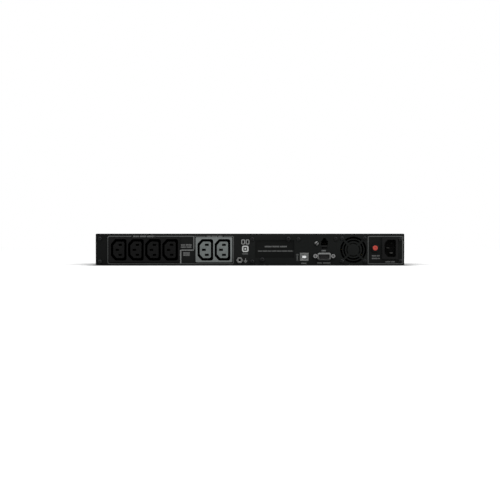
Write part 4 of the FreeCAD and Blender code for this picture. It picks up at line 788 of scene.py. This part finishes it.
def paint_slot_shade_frames():
    """Dark frames round the blade slots of the grey outlets, painted shade standing in for their
    shadowed lead-ins.
    """
    face_y = box_mm("outlet_bank_aux_core")[0][1]
    bm = bmesh.new()
    for outlet_x in AUX_OUTLET_X:
        for slot_x, slot_z in SLOT_OFFSETS:
            x, z = outlet_x + slot_x, AUX_OUTLET_Z + slot_z
            outer = round_rect(x - 2.80, x + 2.80, z - 1.58, z + 1.58, radius=0.55)
            inner = round_rect(x - 2.38, x + 2.38, z - 1.38, z + 1.38, radius=0.3)
            ring(bm, outer, inner, back_y=face_y + 0.05, front_y=face_y - 0.04, soft=0.04)
    add_mesh("outlet_slot_shade_frames", bm, "slot_painted_shade", "chassis")


def side_screw_rims():
    bm = bmesh.new()
    for side in (-1, 1):
        x_min, x_max = sorted((side * 215.35, side * 216.62))
        prism(bm, round_rect(x_min, x_max, 7.9, 10.7, radius=0.55),
              (PANEL_Y - 0.12, PANEL_Y + 1.6))
    add_mesh("side_screw_rims", bm, "screw_zinc", "chassis")


serial_lip()
paint_slot_shade_frames()
side_screw_rims()


# ------------------------------------------------------------------ display and button marks
def display_bars():
    low, high = box_mm("lcd_module")
    span = (high[1] - 0.02, high[1] + 0.12)
    middle = (low[0] + high[0]) / 2
    bm = bmesh.new()

    def block(x_min, x_max, z_min, z_max, radius=0.3):
        outline = round_rect(middle + x_min, middle + x_max, z_min, z_max, radius)
        prism(bm, outline, span)

    # five rising bars
    for i in range(5):
        block(-20 + i * 3.4, -17.8 + i * 3.4, -6.2, -6.2 + 2.2 + i * 1.35)
    # battery sign: frame, terminal and four cells
    stroke(bm, round_rect(middle + 3.0, middle + 18.0, -5.6, 1.6, radius=0.8), 0.5, span,
           closed=True)
    block(18.4, 19.6, -3.6, -0.4)
    for i in range(4):
        block(4.2 + i * 3.4, 6.8 + i * 3.4, -4.6, 0.6)
    # thin line along the top
    block(-20.0, 20.0, 5.4, 6.0, radius=0.2)
    add_mesh("display_bars", bm, "display_segments", "chassis")


def power_sign(bm, x, z, span):
    """Open ring with an upright bar in its gap."""
    radius = 1.55
    angles = [math.radians(125 + i * 290 / 22) for i in range(23)]
    arc = [(x + radius * math.cos(angle), z + radius * math.sin(angle)) for angle in angles]
    stroke(bm, arc, 0.42, span)
    prism(bm, rect(x - 0.21, x + 0.21, z + 0.2, z + 2.1), span)


def arrow_sign(bm, x, z, span):
    prism(bm, [(x - 1.4, z - 0.8), (x + 1.4, z - 0.8), (x, z + 1.1)], span)


def bars_sign(bm, x, z, span):
    for offset in (-1.2, 0.0, 1.2):
        bar_x = x + offset
        prism(bm, rect(bar_x - 0.25, bar_x + 0.25, z - 1.0, z + 1.0), span)


def mark_button(button, sign):
    low, high = box_mm(button)
    bm = bmesh.new()
    sign(bm, (low[0] + high[0]) / 2, (low[2] + high[2]) / 2, (high[1] - 0.01, high[1] + 0.05))
    add_mesh(f"{button}_mark", bm, "legend_ink_light", button)


display_bars()
mark_button("power_button", power_sign)
mark_button("display_button", arrow_sign)
mark_button("mute_button", bars_sign)

# ------------------------------------------------------------------ battery labels and strips
BLOCK_PITCH_X = 151.6
BLOCK_DEPTH = 94.0
LABEL_WIDTH, LABEL_DEPTH = 82.0, 62.0
# x, y of each label's low corner from its block's, by column along X, then row along Y
LABEL_CORNERS = (((14.0, 12.0), (14.0, 20.0)), ((26.0, 12.0), (14.0, 20.0)))


def battery_labels():
    """Blank labels with a coloured band and greeked lines, and a raised strip on each lid."""
    low, high = box_mm("battery_blocks")
    lid = high[2]
    label_bm, band_bm, words_bm, strip_bm = [bmesh.new() for _ in range(4)]
    draw = random.Random(77)
    for column, corners in enumerate(LABEL_CORNERS):
        block_x = low[0] + column * BLOCK_PITCH_X
        for block_y, (corner_x, corner_y) in zip((low[1], high[1] - BLOCK_DEPTH), corners):
            x_min, y_min = block_x + corner_x, block_y + corner_y
            x_max, y_max = x_min + LABEL_WIDTH, y_min + LABEL_DEPTH
            level_prism(label_bm, round_rect(x_min, x_max, y_min, y_max, radius=2.5),
                        (lid - 0.02, lid + 0.10))
            band = round_rect(x_min + 2.0, x_max - 2.0, y_max - 14.0, y_max - 3.0, radius=1.5,
                              steps=3)
            level_prism(band_bm, band, (lid + 0.08, lid + 0.14))
            for line in range(6):
                y = y_max - 21.0 - line * 6.0
                x = x_min + 5.0
                while x < x_max - 12.0:
                    width = min(draw.uniform(4.0, 13.0), x_max - 6.0 - x)
                    word = round_rect(x, x + width, y - 0.9, y + 0.9, radius=0.5, steps=2)
                    level_prism(words_bm, word, (lid + 0.08, lid + 0.13))
                    x += width + 2.0
            strip = round_rect(block_x + 112.0, block_x + 118.0, y_min + 2.0, y_max - 2.0,
                               radius=1.2, steps=3)
            level_prism(strip_bm, strip, (lid - 0.02, lid + 0.45))
    for name, bm, material in (
            ("battery_labels", label_bm, "battery_label"),
            ("battery_label_bands", band_bm, "battery_label_band"),
            ("battery_label_print", words_bm, "battery_label_print"),
            ("battery_vent_strips", strip_bm, "battery_abs")):
        add_mesh(name, bm, material, "battery_drawer")


battery_labels()


# ------------------------------------------------------------------ floor
def floor_material():
    """White floor with a painted shadow round the case, seen through from underneath."""
    mat = Material("floor_white")
    tone = mat.noise(scale=3.0, detail=3.0, rough=0.5)
    # painted shadow: ambient occlusion darkens the floor's colour near the case
    occlusion = mat.node("ShaderNodeAmbientOcclusion", {"Distance": 0.085}, samples=12)
    light = mat.remap(occlusion.outputs["AO"], span=(0.45, 0.98), to=(0.27, 1.0))
    white = mat.mix(tone, opaque(grey(0.93)), opaque(grey(0.94)))
    # a painted shadow in front of the connector panel, deepest just in front of it and easing in
    # smoothly
    y = mat.position("Y")
    rise = mat.ramp(y, PANEL_Y - 104.0, PANEL_Y - 24.0)
    ease = mat.math("SUBTRACT", 3.0, mat.multiply(rise, 2.0))
    fall = mat.ramp(y, PANEL_Y + 60.0, PANEL_Y + 120.0, to=(1.0, 0.0))
    across = mat.ramp(mat.absolute(mat.position("X")), 208.0, 232.0, to=(1.0, 0.0))
    # the painted shadow reads deepest along the floor and is mostly washed out when looked down
    # on
    view = mat.node("ShaderNodeNewGeometry").outputs
    steepness = mat.absolute(mat.dot(view["Incoming"], view["Normal"]))
    grazing = mat.remap(steepness, span=(0.03, 0.14), to=(1.0, 0.22))
    shade = mat.multiply(rise, rise, ease, fall, across, grazing)
    light = mat.multiply(light, mat.math("SUBTRACT", 1.0, mat.multiply(shade, 0.84)))
    color = mat.mix(light, opaque(grey(0.0)), white)
    mat.surface(color=color, rough=0.9, spec=0.0)
    # let through the view from underneath, and soft light onto the underside of the case
    backfacing = mat.node("ShaderNodeNewGeometry").outputs["Backfacing"]
    ray = mat.node("ShaderNodeLightPath").outputs
    close = mat.math("LESS_THAN", ray["Ray Length"], 0.0012)
    under_case = mat.multiply(close, ray["Is Diffuse Ray"])
    clear = mat.math("MAXIMUM", backfacing, under_case)
    see_through = mat.node("ShaderNodeBsdfTransparent").outputs[0]
    mixed = mat.mix_shader(clear, mat.shader.outputs[0], see_through)
    mat.feed(mat.output.inputs[0], mixed)
    return mat.material


def add_floor():
    half_size = 24.0                          # metres
    z = -HALF_HEIGHT * MM - 0.00005           # a hair below the case
    mesh = bpy.data.meshes.new("floor")
    bm = bmesh.new()
    outline = rect(-half_size, half_size, -half_size, half_size)
    bm.faces.new([bm.verts.new((x, y, z)) for x, y in outline])
    bm.to_mesh(mesh)
    bm.free()
    floor = bpy.data.objects.new("floor", mesh)
    bpy.context.scene.collection.objects.link(floor)
    mesh.materials.append(floor_material())
    floor.visible_glossy = False


# ------------------------------------------------------------------ world, lights, camera
def add_world():
    """White to the camera, even soft light, and a separate sky for reflections."""
    world = bpy.data.worlds.new("studio")
    bpy.context.scene.world = world
    graph = Graph(world)
    output = graph.node("ShaderNodeOutputWorld")
    ray = graph.node("ShaderNodeLightPath").outputs

    def background(strength):
        return graph.node("ShaderNodeBackground", {0: (1, 1, 1, 1), 1: strength}).outputs[0]

    # reflections: bright from above and the +X side, dark below
    direction = graph.node("ShaderNodeTexCoord").outputs["Generated"]
    height = graph.dot(direction, (0.35, 0.0, 0.94))
    mirrored = tinted = graph.node("ShaderNodeBackground")
    graph.feed(tinted.inputs[1], graph.remap(height, span=(-0.35, 0.70), to=(0.02, 0.80)))
    lighting = graph.mix_shader(ray["Is Glossy Ray"], background(1.10), mirrored.outputs[0])
    seen = graph.mix_shader(ray["Is Camera Ray"], lighting, background(1.0))
    graph.feed(output.inputs[0], seen)


LIGHT_TARGET = (0, -0.25, 0)                  # metres
# name, place in metres, size in metres, power in watts
LIGHTS = (
    ("soft_top", (0.5, -0.9, 2.2), 1.4, 9.0),
    ("soft_right", (2.0, -1.6, 1.5), 0.9, 7.0),
    ("soft_left", (-2.0, -1.4, 1.2), 0.9, 3.0),
)


def add_light(name, place, size, power):
    light = bpy.data.lights.new(name, "AREA")
    light.shape = "RECTANGLE"
    light.size = size
    light.size_y = size
    light.energy = power
    obj = bpy.data.objects.new(name, light)
    obj.location = place
    obj.rotation_mode = "QUATERNION"
    aim = Vector(LIGHT_TARGET) - Vector(place)
    obj.rotation_quaternion = aim.to_track_quat("-Z", "Y")
    bpy.context.scene.collection.objects.link(obj)


CAMERA_DISTANCE = 2000.0                      # from the connector panel
VIEW_WIDTH = 701.3                            # width seen at the connector panel


def add_camera():
    """Square on to the connector panel, at mid-height."""
    camera = bpy.data.cameras.new("camera")
    obj = bpy.data.objects.new("camera", camera)
    bpy.context.scene.collection.objects.link(obj)
    camera.sensor_width = 36.0
    camera.lens = 36.0 * CAMERA_DISTANCE / VIEW_WIDTH
    camera.shift_y = -0.00114                 # share of the view width
    camera.clip_start = 0.05
    camera.clip_end = 60.0
    obj.location = (0.0, (PANEL_Y - CAMERA_DISTANCE) * MM, 0.0)
    obj.rotation_euler = (math.radians(90), 0, 0)
    bpy.context.scene.camera = obj


add_floor()
add_world()
for light_settings in LIGHTS:
    add_light(*light_settings)
add_camera()
bpy.context.scene.view_settings.view_transform = "Standard"
